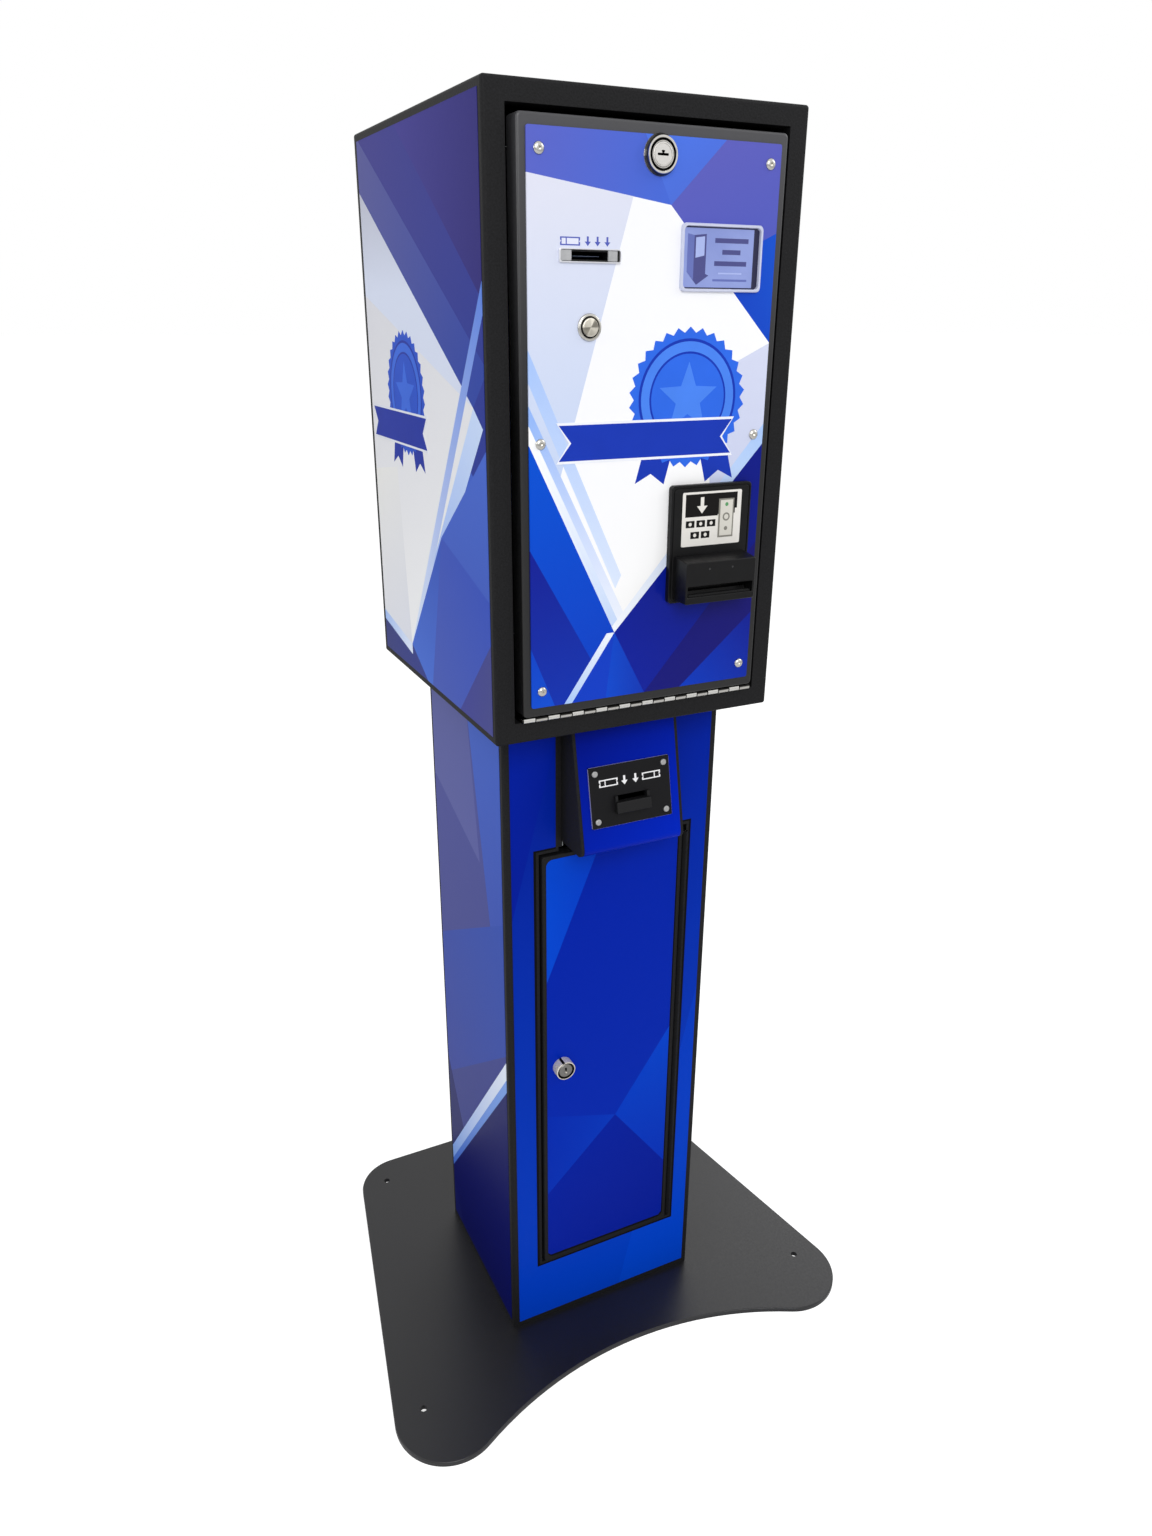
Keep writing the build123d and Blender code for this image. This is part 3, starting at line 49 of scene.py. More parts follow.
lens.clip_end = 200.0
camera = bpy.data.objects.new("camera", lens)
turn = Matrix((right, above, -ahead)).transposed()
camera.matrix_world = Matrix.Translation(eye) @ turn.to_4x4()
bpy.context.collection.objects.link(camera)
bpy.context.scene.camera = camera
bpy.context.scene.view_settings.view_transform = "Standard"


# Studio
# A pale seamless floor under a white surround. One large soft lamp stands in front, two weaker
# ones shape the sides, and one behind lays its sheen on the right of the base plate. The floor
# shows white and keeps the machine's shadow.
def linear(code):
    """An sRGB hex colour as the linear values that Blender takes."""
    parts = [int(code[i:i + 2], 16) / 255 for i in (0, 2, 4)]
    return [p / 12.92 if p <= 0.04045 else ((p + 0.055) / 1.055) ** 2.4 for p in parts] + [1.0]


def add(tree, kind, settings=None, inputs=None):
    """Adds a node with its settings; an input is a value or another node's socket."""
    node = tree.nodes.new(kind)
    for key, value in (settings or {}).items():
        setattr(node, key, value)
    for key, value in (inputs or {}).items():
        if isinstance(value, bpy.types.NodeSocket):
            tree.links.new(value, node.inputs[key])
        else:
            node.inputs[key].default_value = value
    return node


def worked(tree, operation, *values):
    """The result of a sum on values or sockets."""
    return add(tree, "ShaderNodeMath", {"operation": operation}, dict(enumerate(values))).outputs[0]


def spread(tree, value, start=0.0, end=1.0, low=0.0, high=1.0, ease="LINEAR"):
    """A value moved from one range to another and held at its ends."""
    return add(
        tree, "ShaderNodeMapRange", {"interpolation_type": ease},
        {"Value": value, "From Min": start, "From Max": end, "To Min": low, "To Max": high},
    ).outputs["Result"]


def seen_directly(tree, mirrored=1.0):
    """1 for rays from the camera, a set share for those off metal or through glass, and 0 for
    the light on the object."""
    path = add(tree, "ShaderNodeLightPath")
    seen = path.outputs["Is Camera Ray"]
    for name in ("Is Glossy Ray", "Is Transmission Ray"):
        seen = worked(tree, "MAXIMUM", seen, worked(tree, "MULTIPLY", path.outputs[name], mirrored))
    return seen


floor_size = 120.0
floor_glow = 0.6
floor_mirrored = 0.2
floor_mesh = bpy.data.meshes.new("floor")
bm = bmesh.new()
bmesh.ops.create_grid(bm, x_segments=2, y_segments=2, size=floor_size / 2)
bm.to_mesh(floor_mesh)
bm.free()
floor = bpy.data.objects.new("floor", floor_mesh)
bpy.context.collection.objects.link(floor)
paper = bpy.data.materials.new("pale studio floor")
paper.use_nodes = True
tree = paper.node_tree
tree.nodes["Principled BSDF"].inputs["Base Color"].default_value = linear("E4E4E4")
tree.nodes["Principled BSDF"].inputs["Roughness"].default_value = 0.9
tree.nodes["Principled BSDF"].inputs["Specular IOR Level"].default_value = 0.1
lift = worked(tree, "MULTIPLY", seen_directly(tree, floor_mirrored), floor_glow)
glow = add(tree, "ShaderNodeEmission", {}, {"Color": linear("FFFFFF"), "Strength": lift})
both = add(
    tree, "ShaderNodeAddShader", {},
    {0: tree.nodes["Principled BSDF"].outputs[0], 1: glow.outputs[0]},
)
tree.links.new(both.outputs[0], tree.nodes["Material Output"].inputs["Surface"])
floor_mesh.materials.append(paper)

world = bpy.data.worlds.new("white surround")
world.use_nodes = True
bpy.context.scene.world = world
tree = world.node_tree
surround_light = 0.55
surround = spread(tree, seen_directly(tree), low=surround_light)
tree.nodes["Background"].inputs["Color"].default_value = linear("FFFFFF")
tree.links.new(surround, tree.nodes["Background"].inputs["Strength"])

for name, place, aim, size, power in (
    ("front lamp", (-0.9, -3.0, 2.6), (0, 0, 0.85), 1.8, 52),
    ("left lamp", (-3.2, 0.2, 1.9), (0, 0, 0.8), 1.5, 24),
    ("right lamp", (2.8, -1.4, 2.8), (0, 0, 0.7), 1.4, 22),
    ("back lamp", (2.1, 1.9, 2.5), (0.2, 0, 0), 1.4, 9),
):
    lamp = bpy.data.lights.new(name, "AREA")
    lamp.shape = "SQUARE"
    lamp.size = size
    lamp.energy = power
    shade = bpy.data.objects.new(name, lamp)
    aimed = (Vector(aim) - Vector(place)).to_track_quat("-Z", "Y").to_matrix().to_4x4()
    shade.matrix_world = Matrix.Translation(place) @ aimed
    bpy.context.collection.objects.link(shade)


# Base plate
# A 6 mm steel plate, flame or laser cut to its curved outline, with the column bolted on it.
# It is powder coated near black, satin, with the faint texture of the baked powder, and the
# blue column shows dark in it.
def finish(name, colour, *drifts, relief=None, **sockets):
    """A material of one colour with its drifts, and with soft bumps where relief gives their
    size and depth. Its tree, its shader and the object's own coordinates come with it."""
    material = bpy.data.materials.new(name)
    material.use_nodes = True
    tree = material.node_tree
    shader = tree.nodes["Principled BSDF"]
    shader.inputs["Base Color"].default_value = linear(colour)
    for socket, value in sockets.items():
        shader.inputs[socket.replace("_", " ")].default_value = value
    place = add(tree, "ShaderNodeTexCoord").outputs["Object"]
    for one in drifts:
        drift(tree, shader, place, *one)
    if relief:
        grain(tree, shader, place, *relief)
    return material, tree, shader, place


def grain(tree, shader, place, size, depth):
    """Relief of soft bumps, each about size across and depth high, both in metres."""
    noise = add(tree, "ShaderNodeTexNoise", {}, {"Vector": place, "Scale": 1 / size, "Detail": 2.0})
    height = noise.outputs["Fac"]
    bump = add(tree, "ShaderNodeBump", {}, {"Height": height, "Strength": 1.0, "Distance": depth})
    tree.links.new(bump.outputs[0], shader.inputs["Normal"])


def blend(tree, share, low, high, mode="MIX"):
    """A colour between two, each of them a hex colour or a socket."""
    low, high = (linear(one) if isinstance(one, str) else one for one in (low, high))
    both = {0: share, 6: low, 7: high}
    return add(tree, "ShaderNodeMix", {"data_type": "RGBA", "blend_type": mode}, both).outputs[2]


def drift(tree, shader, place, size, socket, low, high):
    """Lets a colour or a value wander between two limits over patches of about this size."""
    noise = add(tree, "ShaderNodeTexNoise", {}, {"Vector": place, "Scale": 1 / size, "Detail": 4.0})
    share = spread(tree, noise.outputs["Fac"], 0.3, 0.7)
    if isinstance(low, str):
        wandering = blend(tree, share, low, high)
    else:
        wandering = spread(tree, share, low=low, high=high)
    tree.links.new(wandering, shader.inputs[socket])


def surface(*looks, **sockets):
    """The material of a finish that needs no more nodes."""
    return finish(*looks, **sockets)[0]


def give(material, *nodes):
    """Puts a finish on the frame's own parts."""
    for node in nodes:
        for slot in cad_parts[node].material_slots:
            slot.material = material


charcoal = surface(
    "satin charcoal powder coat", "151517", (0.22, "Base Color", "121214", "18181B"),
    (0.003, "Roughness", 0.3, 0.4), relief=(0.0012, 0.00003), Roughness=0.34,
)
give(charcoal, "base_plate")

# Black cabinet work
# The cabinet, its back, the column, its flanges and the chute hood are bent and welded steel
# sheet, powder coated black with a fine texture that scatters the light and hides the welds.
texture_size = 0.0016
black_coat = surface(
    "fine texture black powder coat", "141415", (texture_size, "Base Color", "0E0E0F", "1B1B1D"),
    relief=(texture_size, 0.00022), Roughness=0.6, Specular_IOR_Level=0.16,
)
give(
    black_coat, "cabinet_shell", "cabinet_back", "column_shell", "column_foot_flange",
    "column_top_flange", "chute_hood", "pedestal_door",
)

# Head door pan
# A folded steel pan that carries the printed front panel, with a smooth satin dark grey coat.
# Its colour is painted lighter towards the top, a painted reflection of the light from above.
def paint(tree, shader, colour):
    """Gives a shader a worked colour."""
    tree.links.new(colour, shader.inputs["Base Color"])


door_coat, tree, shader, place = finish(
    "satin dark grey powder coat", "232325", (0.002, "Roughness", 0.3, 0.4),
    relief=(0.0025, 0.00003), Roughness=0.34, Specular_IOR_Level=0.45,
)
# The coat runs from dark at the bottom to a painted sheen at the top.
painted_sheen_from, painted_sheen_to = 1.12, 1.34
height = add(tree, "ShaderNodeSeparateXYZ", {}, {0: place}).outputs["Z"]
coat = blend(tree, spread(tree, height, painted_sheen_from, painted_sheen_to), "161617", "434346")
paint(tree, shader, coat)
give(door_coat, "head_door")


# Wrap film on the cabinet's sides
# Cast vinyl film, printed and laminated satin, pressed flat on the steel and trimmed short of
# the edges. The print is a field of straight-edged facets in blues and white.
def along(tree, place, direction):
    """How far each point lies along a direction."""
    both = {0: place, 1: direction}
    return add(tree, "ShaderNodeVectorMath", {"operation": "DOT_PRODUCT"}, both).outputs["Value"]


def facet(tree, place, across, under, corners, start, end, mask=None):
    """Prints a facet over the colour under it. Its corners are (across, up) in millimetres,
    and it fades from the colour at its first corner to that at the opposite one."""
    upward = Vector((0, 0, 1))
    loop = list(zip(corners, corners[1:] + corners[:1]))
    side = math.copysign(1, sum(a[0] * b[1] - b[0] * a[1] for a, b in loop))
    inside = mask
    for a, b in loop:
        inward = (across * (a[1] - b[1]) + upward * (b[0] - a[0])) * side
        reach = inward.dot(across * a[0] + upward * a[1]) / 1000
        over = worked(tree, "GREATER_THAN", along(tree, place, inward), reach)
        inside = over if inside is None else worked(tree, "MULTIPLY", inside, over)
    first, last = (across * u + upward * v for u, v in (corners[0], corners[len(corners) // 2]))
    fade = (last - first).normalized()
    way = along(tree, place, fade)
    share = spread(tree, way, fade.dot(first) / 1000, fade.dot(last) / 1000)
    return blend(tree, inside, under, blend(tree, share, start, end))


def printed(tree, shader, place, across, ground, facets, mask=None):
    """Prints facets on a ground, later ones on top, and returns the finished colour."""
    colour = ground
    if isinstance(ground, str):
        colour = add(tree, "ShaderNodeRGB").outputs[0]
        colour.default_value = linear(ground)
    for corners, start, end in facets:
        colour = facet(tree, place, across, colour, corners, start, end, mask)
    paint(tree, shader, colour)
    return colour


def film(name, colour, roughness=0.36):
    """The finish of a film before its print: satin, with a slight ripple from the coat under it."""
    return finish(
        name, colour, relief=(0.009, 0.00003), Roughness=roughness, Specular_IOR_Level=film_shine,
    )


film_shine = 0.04
sideways = Vector((0, -1, 0))
side_film, tree, shader, place = film("satin laminated vinyl film", "1A2A9A")
cabinet_facets = [
    ([(-193, 1372), (163, 1372), (163, 1040), (-193, 1300)], "2B2684", "263894"),
    ([(-70, 1372), (163, 1372), (163, 1208)], "322B8C", "251F74"),
    ([(-193, 1372), (-193, 1322), (128, 1128), (163, 1160)], "4C4E92", "2C44A2"),
    # The white facet is painted greyer towards its top, painted shade on the film.
    ([(-193, 1322), (-193, 880), (-84, 862), (128, 1128)], "D2D3DC", "F2F3F5"),
    ([(-193, 1322), (-193, 1222), (128, 1128)], "B8BACA", "D6DEF2"),
    ([(-193, 1040), (-193, 880), (-84, 862), (-104, 1052)], "EAEAE8", "DEE1EC"),
    ([(-84, 862), (-68, 851), (150, 1112), (128, 1128)], "7DA2EE", "C8DBFB"),
    ([(-84, 862), (-72, 854), (163, 1214), (163, 1240)], "DCE8FC", "5C84E0"),
    ([(163, 1100), (163, 960), (30, 1000)], "4668CC", "3E5CBE"),
    ([(163, 960), (163, 826), (-20, 826), (30, 1000)], "3450BA", "4258B4"),
    ([(-193, 880), (-193, 826), (-20, 826), (-84, 862)], "2E3678", "28348A"),
    ([(-20, 826), (30, 1000), (-84, 862)], "426CD2", "3452B6"),
    ([(-193, 880), (-193, 869), (-84, 850), (-84, 862)], "9CBCF4", "E0EAFD"),
    ([(60, 826), (163, 826), (163, 930)], "383C94", "42468A"),
]
printed(tree, shader, place, sideways, "3E60C4", cabinet_facets)
give(side_film, "cabinet_graphics")

# Wrap film on the column and the hood
# The same film, wrapped in three panels round the column's front and sides. The front is
# nearly one blue, and the sides carry long facets with one pale blade.
def make(name, bm, place, material, body, replaced=()):
    """Puts a mesh on the machine: on its body, with its finish, for the nodes it replaces."""
    bmesh.ops.transform(bm, matrix=place, verts=bm.verts)
    mesh = bpy.data.meshes.new(name)
    bm.to_mesh(mesh)
    bm.free()
    for one in (material if isinstance(material, list) else [material]):
        mesh.materials.append(one)
    mesh.shade_smooth()
    mesh.set_sharp_from_angle(angle=math.radians(30))
    piece = bpy.data.objects.new(name, mesh)
    bpy.context.collection.objects.link(piece)
    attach(piece, body)
    if replaced:
        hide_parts(*replaced)
    return piece


column_side = 0.1265
column_film, tree, shader, place = film("satin laminated vinyl film on the column", "0028AC")
apart = add(tree, "ShaderNodeSeparateXYZ", {}, {0: place})
on_side = worked(tree, "GREATER_THAN", worked(tree, "ABSOLUTE", apart.outputs["X"]), column_side)
frontal = Vector((1, 0, 0))
rim_black = "0C0C0D"
front_facets = [
    # The front is painted darker towards its top left, painted shade under the cabinet.
    ([(-130, 830), (130, 830), (130, 0), (-130, 0)], "001A96", "0042CA"),
    ([(-130, 830), (-130, 560), (-60, 830)], "0020A2", "001C9A"),
    ([(130, 500), (130, 0), (20, 0)], "0038BE", "0046D0"),
    # The black rim that is printed round the door's opening.
    ([(-94, 680), (100, 680), (100, 96), (-94, 96)], rim_black, rim_black),
]
column_facets = [
    ([(-112, 830), (114, 830), (114, 0), (-112, 0)], "4E539A", "1A2A80"),
    ([(10, 830), (114, 830), (114, 600), (70, 560)], "4264C6", "3250B4"),
    ([(-112, 830), (-112, 700), (40, 640), (10, 830)], "5A609E", "565CA0"),
    ([(114, 600), (114, 430), (-112, 250), (-112, 470)], "2A4CB0", "2C3F9C"),
    ([(-112, 300), (60, 0), (-112, 0)], "101A6A", "060E58"),
    ([(114, 400), (114, 0), (-60, 0), (-112, 84)], "080F62", "010758"),
    ([(-112, 118), (-112, 96), (114, 402), (114, 426)], "7EA6EE", "E6EEFC"),
    ([(-112, 96), (-112, 84), (114, 384), (114, 402)], "3C68CC", "7FA6EC"),
]
colour = printed(tree, shader, place, frontal, "0028AC", front_facets)
printed(tree, shader, place, sideways, colour, column_facets, mask=on_side)
give(column_film, "column_graphics")

# The hood's film lies on its sloped front, and a strip of it goes round the bend at the foot.
hood_film, tree, shader, place = film("satin laminated vinyl film on the hood", "001CA4")
printed(tree, shader, place, frontal, "001CA4", [
    # The hood's film is painted darker towards its top, painted shade under the cabinet.
    ([(-60, 826), (60, 826), (60, 680), (-60, 680)], "001080", "0026BC"),
])
give(hood_film, "hood_graphic")
hood_run, hood_rise = 28.7, 140.25
hood_lean = math.atan2(hood_run, hood_rise)
hood_bend = 8.0
bend_reach = math.radians(80)
film_thickness = 0.3
film_half = 57.0
film_foot = Vector((-film_half, -159.81, 695.75))
bend_centre = Vector((-film_half, -152.15, 693.25))
bend_steps = 8
bm = bmesh.new()
row = [bm.verts.new(film_foot)]
for step in range(bend_steps + 1):
    angle = math.pi - hood_lean + bend_reach * step / bend_steps
    outward = Vector((0, math.cos(angle), math.sin(angle)))
    row.append(bm.verts.new(bend_centre + outward * hood_bend))
line = [bm.edges.new(pair) for pair in zip(row, row[1:])]
grown = bmesh.ops.extrude_edge_only(bm, edges=line)["geom"]
far_side = [part for part in grown if isinstance(part, bmesh.types.BMVert)]
bmesh.ops.translate(bm, vec=(2 * film_half, 0, 0), verts=far_side)
bmesh.ops.recalc_face_normals(bm, faces=bm.faces)
if sum(face.normal.y for face in bm.faces) > 0:
    bmesh.ops.reverse_faces(bm, faces=bm.faces)
bmesh.ops.solidify(bm, geom=bm.faces[:], thickness=-film_thickness)
bmesh.ops.recalc_face_normals(bm, faces=bm.faces)
make("hood_wrap", bm, Matrix.Scale(0.001, 4), hood_film, "cabinet")

# The pedestal door has its own cut of the film, with a black rim at the hinge and at the foot.
pedestal_film, tree, shader, place = film(
    "satin laminated vinyl film on the pedestal door", "0022A6", 0.34,
)
printed(tree, shader, place, frontal, "0028AE", [
    ([(-86, 680), (90, 680), (90, 100), (-86, 100)], "0022A6", "002CB2"),
    ([(-86, 680), (-14, 680), (-86, 500)], "0048D2", "003AC4"),
    ([(90, 420), (90, 190), (10, 300)], "0044CC", "0030B8"),
    ([(-86, 330), (10, 300), (90, 190), (90, 100), (-86, 100)], "0022A4", "001C98"),
    ([(-86, 330), (10, 300), (-86, 205)], "002AB0", "0036BC"),
    ([(81.6, 680), (90, 680), (90, 100), (81.6, 100)], rim_black, rim_black),
    ([(-86, 111.6), (90, 111.6), (90, 100), (-86, 100)], rim_black, rim_black),
    ([(-80.6, 116), (-80.6, 111), (-76, 111)], rim_black, rim_black),
    ([(82, 116.5), (82, 111), (77, 111)], rim_black, rim_black),
    ([(82, 663), (82, 668), (77, 668)], rim_black, rim_black),
])
give(pedestal_film, "pedestal_door_graphic")

# Printed front panel
# A 1.5 mm clear sheet, printed on its back in the same blues and white and screwed on the
# door. The gloss of the bare sheet lies over the ink.
gloss = {"Specular_IOR_Level": 0.06, "Coat_Weight": 0.16, "Coat_Roughness": 0.02, "Coat_IOR": 1.49}
front_print, tree, shader, place = finish("clear sheet over ink", "F4F5FC", Roughness=0.4, **gloss)
printed(tree, shader, place, frontal, "083CC4", [
    # The top facets mix their blue print with a painted reflection that washes them pale lilac.
    ([(-120, 1339), (120, 1339), (120, 1150), (-120, 1290)], "5660C2", "4656BC"),
    ([(-120, 1339), (-120, 1306), (12, 1288), (-14, 1339)], "5A64C4", "4468D6"),
    ([(-14, 1339), (12, 1288), (64, 1339)], "4C76E8", "4A6CD6"),
    ([(64, 1339), (12, 1288), (120, 1180), (120, 1339)], "5C5EBA", "4858BE"),
    ([(120, 1270), (58, 1242), (120, 1180)], "1050CC", "0C40C0"),
    (
        [(-120, 1306), (12, 1288), (120, 1180), (120, 1092), (-34, 926), (-120, 1100)],
        "F4F5FD", "FCFCFC",
    ),
    ([(-120, 1306), (-24, 1293), (-96, 1052), (-120, 1100)], "DFE1F0", "C6D6F4"),
    ([(120, 1180), (120, 1092), (66, 1034), (54, 1150)], "D6DBF2", "C9D0EC"),
    ([(-120, 1176), (-120, 1150), (-34, 968), (-28, 980)], "A6C4F8", "DCE8FD"),
    ([(-120, 1132), (-120, 1100), (-34, 926), (-22, 939)], "8EB4F6", "F2F6FF"),
    ([(-120, 1116), (-120, 1100), (-34, 926), (-28, 932)], "FFFFFF", "C6DAFB"),
    ([(120, 1110), (120, 1092), (-34, 926), (-42, 926)], "A8C8F8", "F6F9FF"),
    ([(-120, 1100), (-120, 1010), (-58, 902), (-34, 926)], "0050D2", "0040C6"),
    ([(-120, 1010), (-120, 862), (-82, 862), (-58, 902)], "0E1C92", "0830AE"),
    ([(-120, 920), (-120, 862), (-96, 862)], "0440C4", "064CD0"),
    ([(-34, 926), (120, 1092), (120, 1000), (0, 862), (-42, 862)], "061C98", "0A1884"),
    ([(0, 862), (120, 1000), (120, 930), (40, 862)], "101278", "161470"),
    ([(40, 862), (120, 930), (120, 862)], "0038BC", "0C1C90"),
    ([(-42, 862), (0, 862), (-34, 926)], "0448CC", "0634B2"),
    ([(-34, 926), (-42, 926), (-86, 862), (-78, 862)], "F4F8FF", "A8C8F8"),
])
give(front_print, "door_graphic")

# Plain finishes of the small and the inner parts
# Zinc-plated fixings, stainless and chromed trim, bent galvanised sheet, moulded plastics,
# rubber, ticket card and the green board, each with the marks of how it is made.
zinc = surface(
    "zinc plated steel", "B9BCC0", (0.004, "Roughness", 0.26, 0.44), Metallic=1.0, Roughness=0.34,
)
give(
    zinc, "base_bolts", "cabinet_fixings", "back_screws", "head_lock_nut", "head_lock_cam",
    "pedestal_lock_nut", "pedestal_lock_cam",
)

# A continuous hinge shows a dark joint between each two of its 12.7 mm knuckles. The tops of
# the knuckles are painted dark as painted shade, reaching lowest on the door's leaf.
knuckle = 12.7
joint_half = 0.55
painted_shade_fade = 0.9
hinge_axis = 0.84935
for leaf, name, colour, low, high, unshaded_to in (
    ("head_hinge_frame_leaf", "bright rolled hinge steel", "D6D5D1", 0.16, 0.3, 1.3),
    ("head_hinge_door_leaf", "rolled hinge steel with painted shade on top", "C2C0BB", 0.24, 0.4, 0.1),
):
    leaf_steel, tree, shader, place = finish(
        name, colour, (0.006, "Roughness", low, high), Metallic=1.0,
    )
    apart = add(tree, "ShaderNodeSeparateXYZ", {}, {0: place})
    off_joint = worked(tree, "PINGPONG", apart.outputs["X"], knuckle / 2000)
    on_joint = worked(tree, "LESS_THAN", off_joint, joint_half / 1000)
    # From here up the knuckles are painted dark as painted shade on their tops, and the dark joints
    # take the same colour.
    painted_shade_from = hinge_axis + unshaded_to / 1000
    coated = spread(tree, apart.outputs["Z"], painted_shade_from, painted_shade_from + painted_shade_fade / 1000, ease="SMOOTHSTEP")
    worn = blend(tree, worked(tree, "MAXIMUM", on_joint, coated), colour, "1C1B1A")
    paint(tree, shader, worn)
    give(leaf_steel, leaf)
pin_steel = surface("drawn steel hinge pin", "CFCDC8", (0.006, "Roughness", 0.2, 0.3), Metallic=1.0)
give(pin_steel, "head_hinge_pin", "pedestal_hinge_pin")

black_hinge = surface(
    "black coated hinge steel", "0A0A0B", relief=(texture_size, 0.00005), Roughness=0.55,
    Specular_IOR_Level=0.1,
)
give(black_hinge, "pedestal_hinge_frame_leaf", "pedestal_hinge_door_leaf")

stainless = surface(
    "turned stainless steel", "C9C8C2", (0.003, "Roughness", 0.2, 0.34), Metallic=1.0,
    Roughness=0.26,
)
give(stainless, "button_nut")

galvanised, tree, shader, place = finish("galvanised sheet", "A9ADB0", Metallic=1.0, Roughness=0.42)
spangle = add(tree, "ShaderNodeTexVoronoi", {}, {"Vector": place, "Scale": 1 / 0.009})
shine = spread(tree, spangle.outputs["Color"], low=0.32, high=0.56)
tree.links.new(shine, shader.inputs["Roughness"])
give(
    galvanised, "chute_deflector", "feed_chassis", "ticket_guide", "roll_bracket", "power_supply",
)

black_plastic = surface(
    "black moulded ABS", "0E0E0F", (0.01, "Roughness", 0.34, 0.46), relief=(0.0008, 0.00003),
    Roughness=0.4, Specular_IOR_Level=0.2,
)
give(black_plastic, "roll_retainer", "cash_box", "power_inlet")

lip_plastic = surface(
    "matt black moulded lip", "0C0C0E", relief=(0.0008, 0.00003), Roughness=0.55,
    Specular_IOR_Level=0.25,
)
give(lip_plastic, "slot_lip")

grey_plastic = surface(
    "grey moulded ABS", "4A4A4D", (0.02, "Roughness", 0.44, 0.58), relief=(0.0009, 0.00005),
    Roughness=0.5,
)
give(grey_plastic, "ticket_bin", "feed_motor", "bill_validator")

rubber = surface("matt black rubber", "1A1A1A", relief=(0.0008, 0.00008), Roughness=0.8)
give(rubber, "drive_roller", "idler_roller")

card = surface(
    "pale blue ticket card", "A3B4DC", (0.0006, "Base Color", "9AACD6", "ACBCE2"),
    relief=(0.0005, 0.00003), Roughness=0.85,
)
give(card, "ticket_strip")

# The roll's sides show its turns. A turn is 0.25 mm thick, and each line here stands for eight.
roll_card, tree, shader, place = finish(
    "pale blue ticket card wound on a roll", "A3B4DC", relief=(0.0005, 0.00003), Roughness=0.85,
)
roll_centre = (0.0, -0.06855, 1.09915)
line_width = 0.002
wave_length = 0.314
from_centre = add(
    tree, "ShaderNodeMapping", {"vector_type": "POINT"},
    {"Vector": place, "Location": [-part for part in roll_centre]},
)
turns = add(
    tree, "ShaderNodeTexWave", {"wave_type": "RINGS", "rings_direction": "X"},
    {"Vector": from_centre.outputs[0], "Scale": wave_length / line_width, "Distortion": 0.6,
     "Detail": 2.0},
)
wound = blend(tree, turns.outputs["Fac"], "7F92C4", "B4C2E6")
paint(tree, shader, wound)
give(roll_card, "ticket_roll")

# The chips stand on the front of the board, and brass pillars hold it off the back panel.
mask_green, brick_length = "14602C", 0.02
board, tree, shader, place = finish(
    "green solder mask on a circuit board", mask_green, Roughness=0.35,
)
board_front, board_back = 0.1809, 0.1827
depth = add(tree, "ShaderNodeSeparateXYZ", {}, {0: place}).outputs["Y"]
tracks = add(
    tree, "ShaderNodeTexBrick", {"offset": 0.5},
    {"Vector": place, "Color1": linear(mask_green), "Color2": linear("1C7038"),
     "Mortar": linear("4C9A5C"), "Scale": 1 / brick_length, "Mortar Size": 0.012,
     "Brick Width": 0.5, "Row Height": 0.25},
)
over = tracks.outputs["Color"]
for operation, limit, shade in (
    ("LESS_THAN", board_front, "18181A"), ("GREATER_THAN", board_back, "A98B45"),
):
    over = blend(tree, worked(tree, operation, depth, limit), over, shade)
paint(tree, shader, over)
give(board, "control_board")

display_can = surface(
    "blackened steel frame of the display", "101026", (0.006, "Roughness", 0.34, 0.5),
    Roughness=0.4,
)
give(display_can, "lcd_module")

label = surface(
    "printed label", "E8E5DF", (0.03, "Base Color", "E4E1DB", "ECE9E4"), Roughness=0.36,
)
give(label, "bill_label")

# Emblem printed over the facets
# A plain prize seal with ribbon ends and a banner, in the blues of the panel. It is one more
# layer of ink on the front panel and on the film of each side.
def shown_on(origin, across=(1, 0, 0), up=(0, 0, 1)):
    """Where a piece drawn flat in millimetres goes: its across, up and out on the machine."""
    axes = Matrix((Vector(across), Vector(up), Vector(across).cross(Vector(up)))).transposed()
    return Matrix.Translation(Vector(origin) / 1000) @ axes.to_4x4() @ Matrix.Scale(0.001, 4)


def closed(bm, bored=False):
    """Closes the back of a piece, or joins its back to the end of its bore."""
    edges = [edge for edge in bm.edges if edge.is_boundary]
    if bored:
        bmesh.ops.bridge_loops(bm, edges=edges)
    else:
        bmesh.ops.holes_fill(bm, edges=edges, sides=0)
    bmesh.ops.recalc_face_normals(bm, faces=bm.faces)
    return bm


def turned(rings, segments=48, bored=False):
    """A piece built up from rings of (height, edge), where the edge is a radius or a rule that
    gives the radius at an angle."""
    bm = bmesh.new()
    bmesh.ops.create_circle(bm, cap_ends=True, segments=segments, radius=1)
    cap = list(bm.faces)[0]
    for number, (height, edge) in enumerate(rings):
        if number:
            cap = bmesh.ops.extrude_discrete_faces(bm, faces=[cap])["faces"][0]
        for vert in cap.verts:
            angle = math.atan2(vert.co.y, vert.co.x)
            radius = edge(angle) if callable(edge) else edge
            vert.co = Vector((radius * math.cos(angle), radius * math.sin(angle), height))
    if bored:
        bmesh.ops.delete(bm, geom=[cap], context="FACES_ONLY")
    return closed(bm, bored)


def cut_shape(outline, thickness):
    """A flat shape cut to an outline of (across, up) points."""
    bm = bmesh.new()
    face = bm.faces.new([bm.verts.new((across, up, 0)) for across, up in outline])
    grown = bmesh.ops.extrude_face_region(bm, geom=[face])["geom"]
    top = [part for part in grown if isinstance(part, bmesh.types.BMVert)]
    bmesh.ops.translate(bm, vec=(0, 0, thickness), verts=top)
    return closed(bm)


def toothed(outer, inner, teeth):
    """An edge of straight teeth between two radii."""
    return lambda angle: inner if round((angle - math.pi / 2) / math.pi * teeth) % 2 else outer


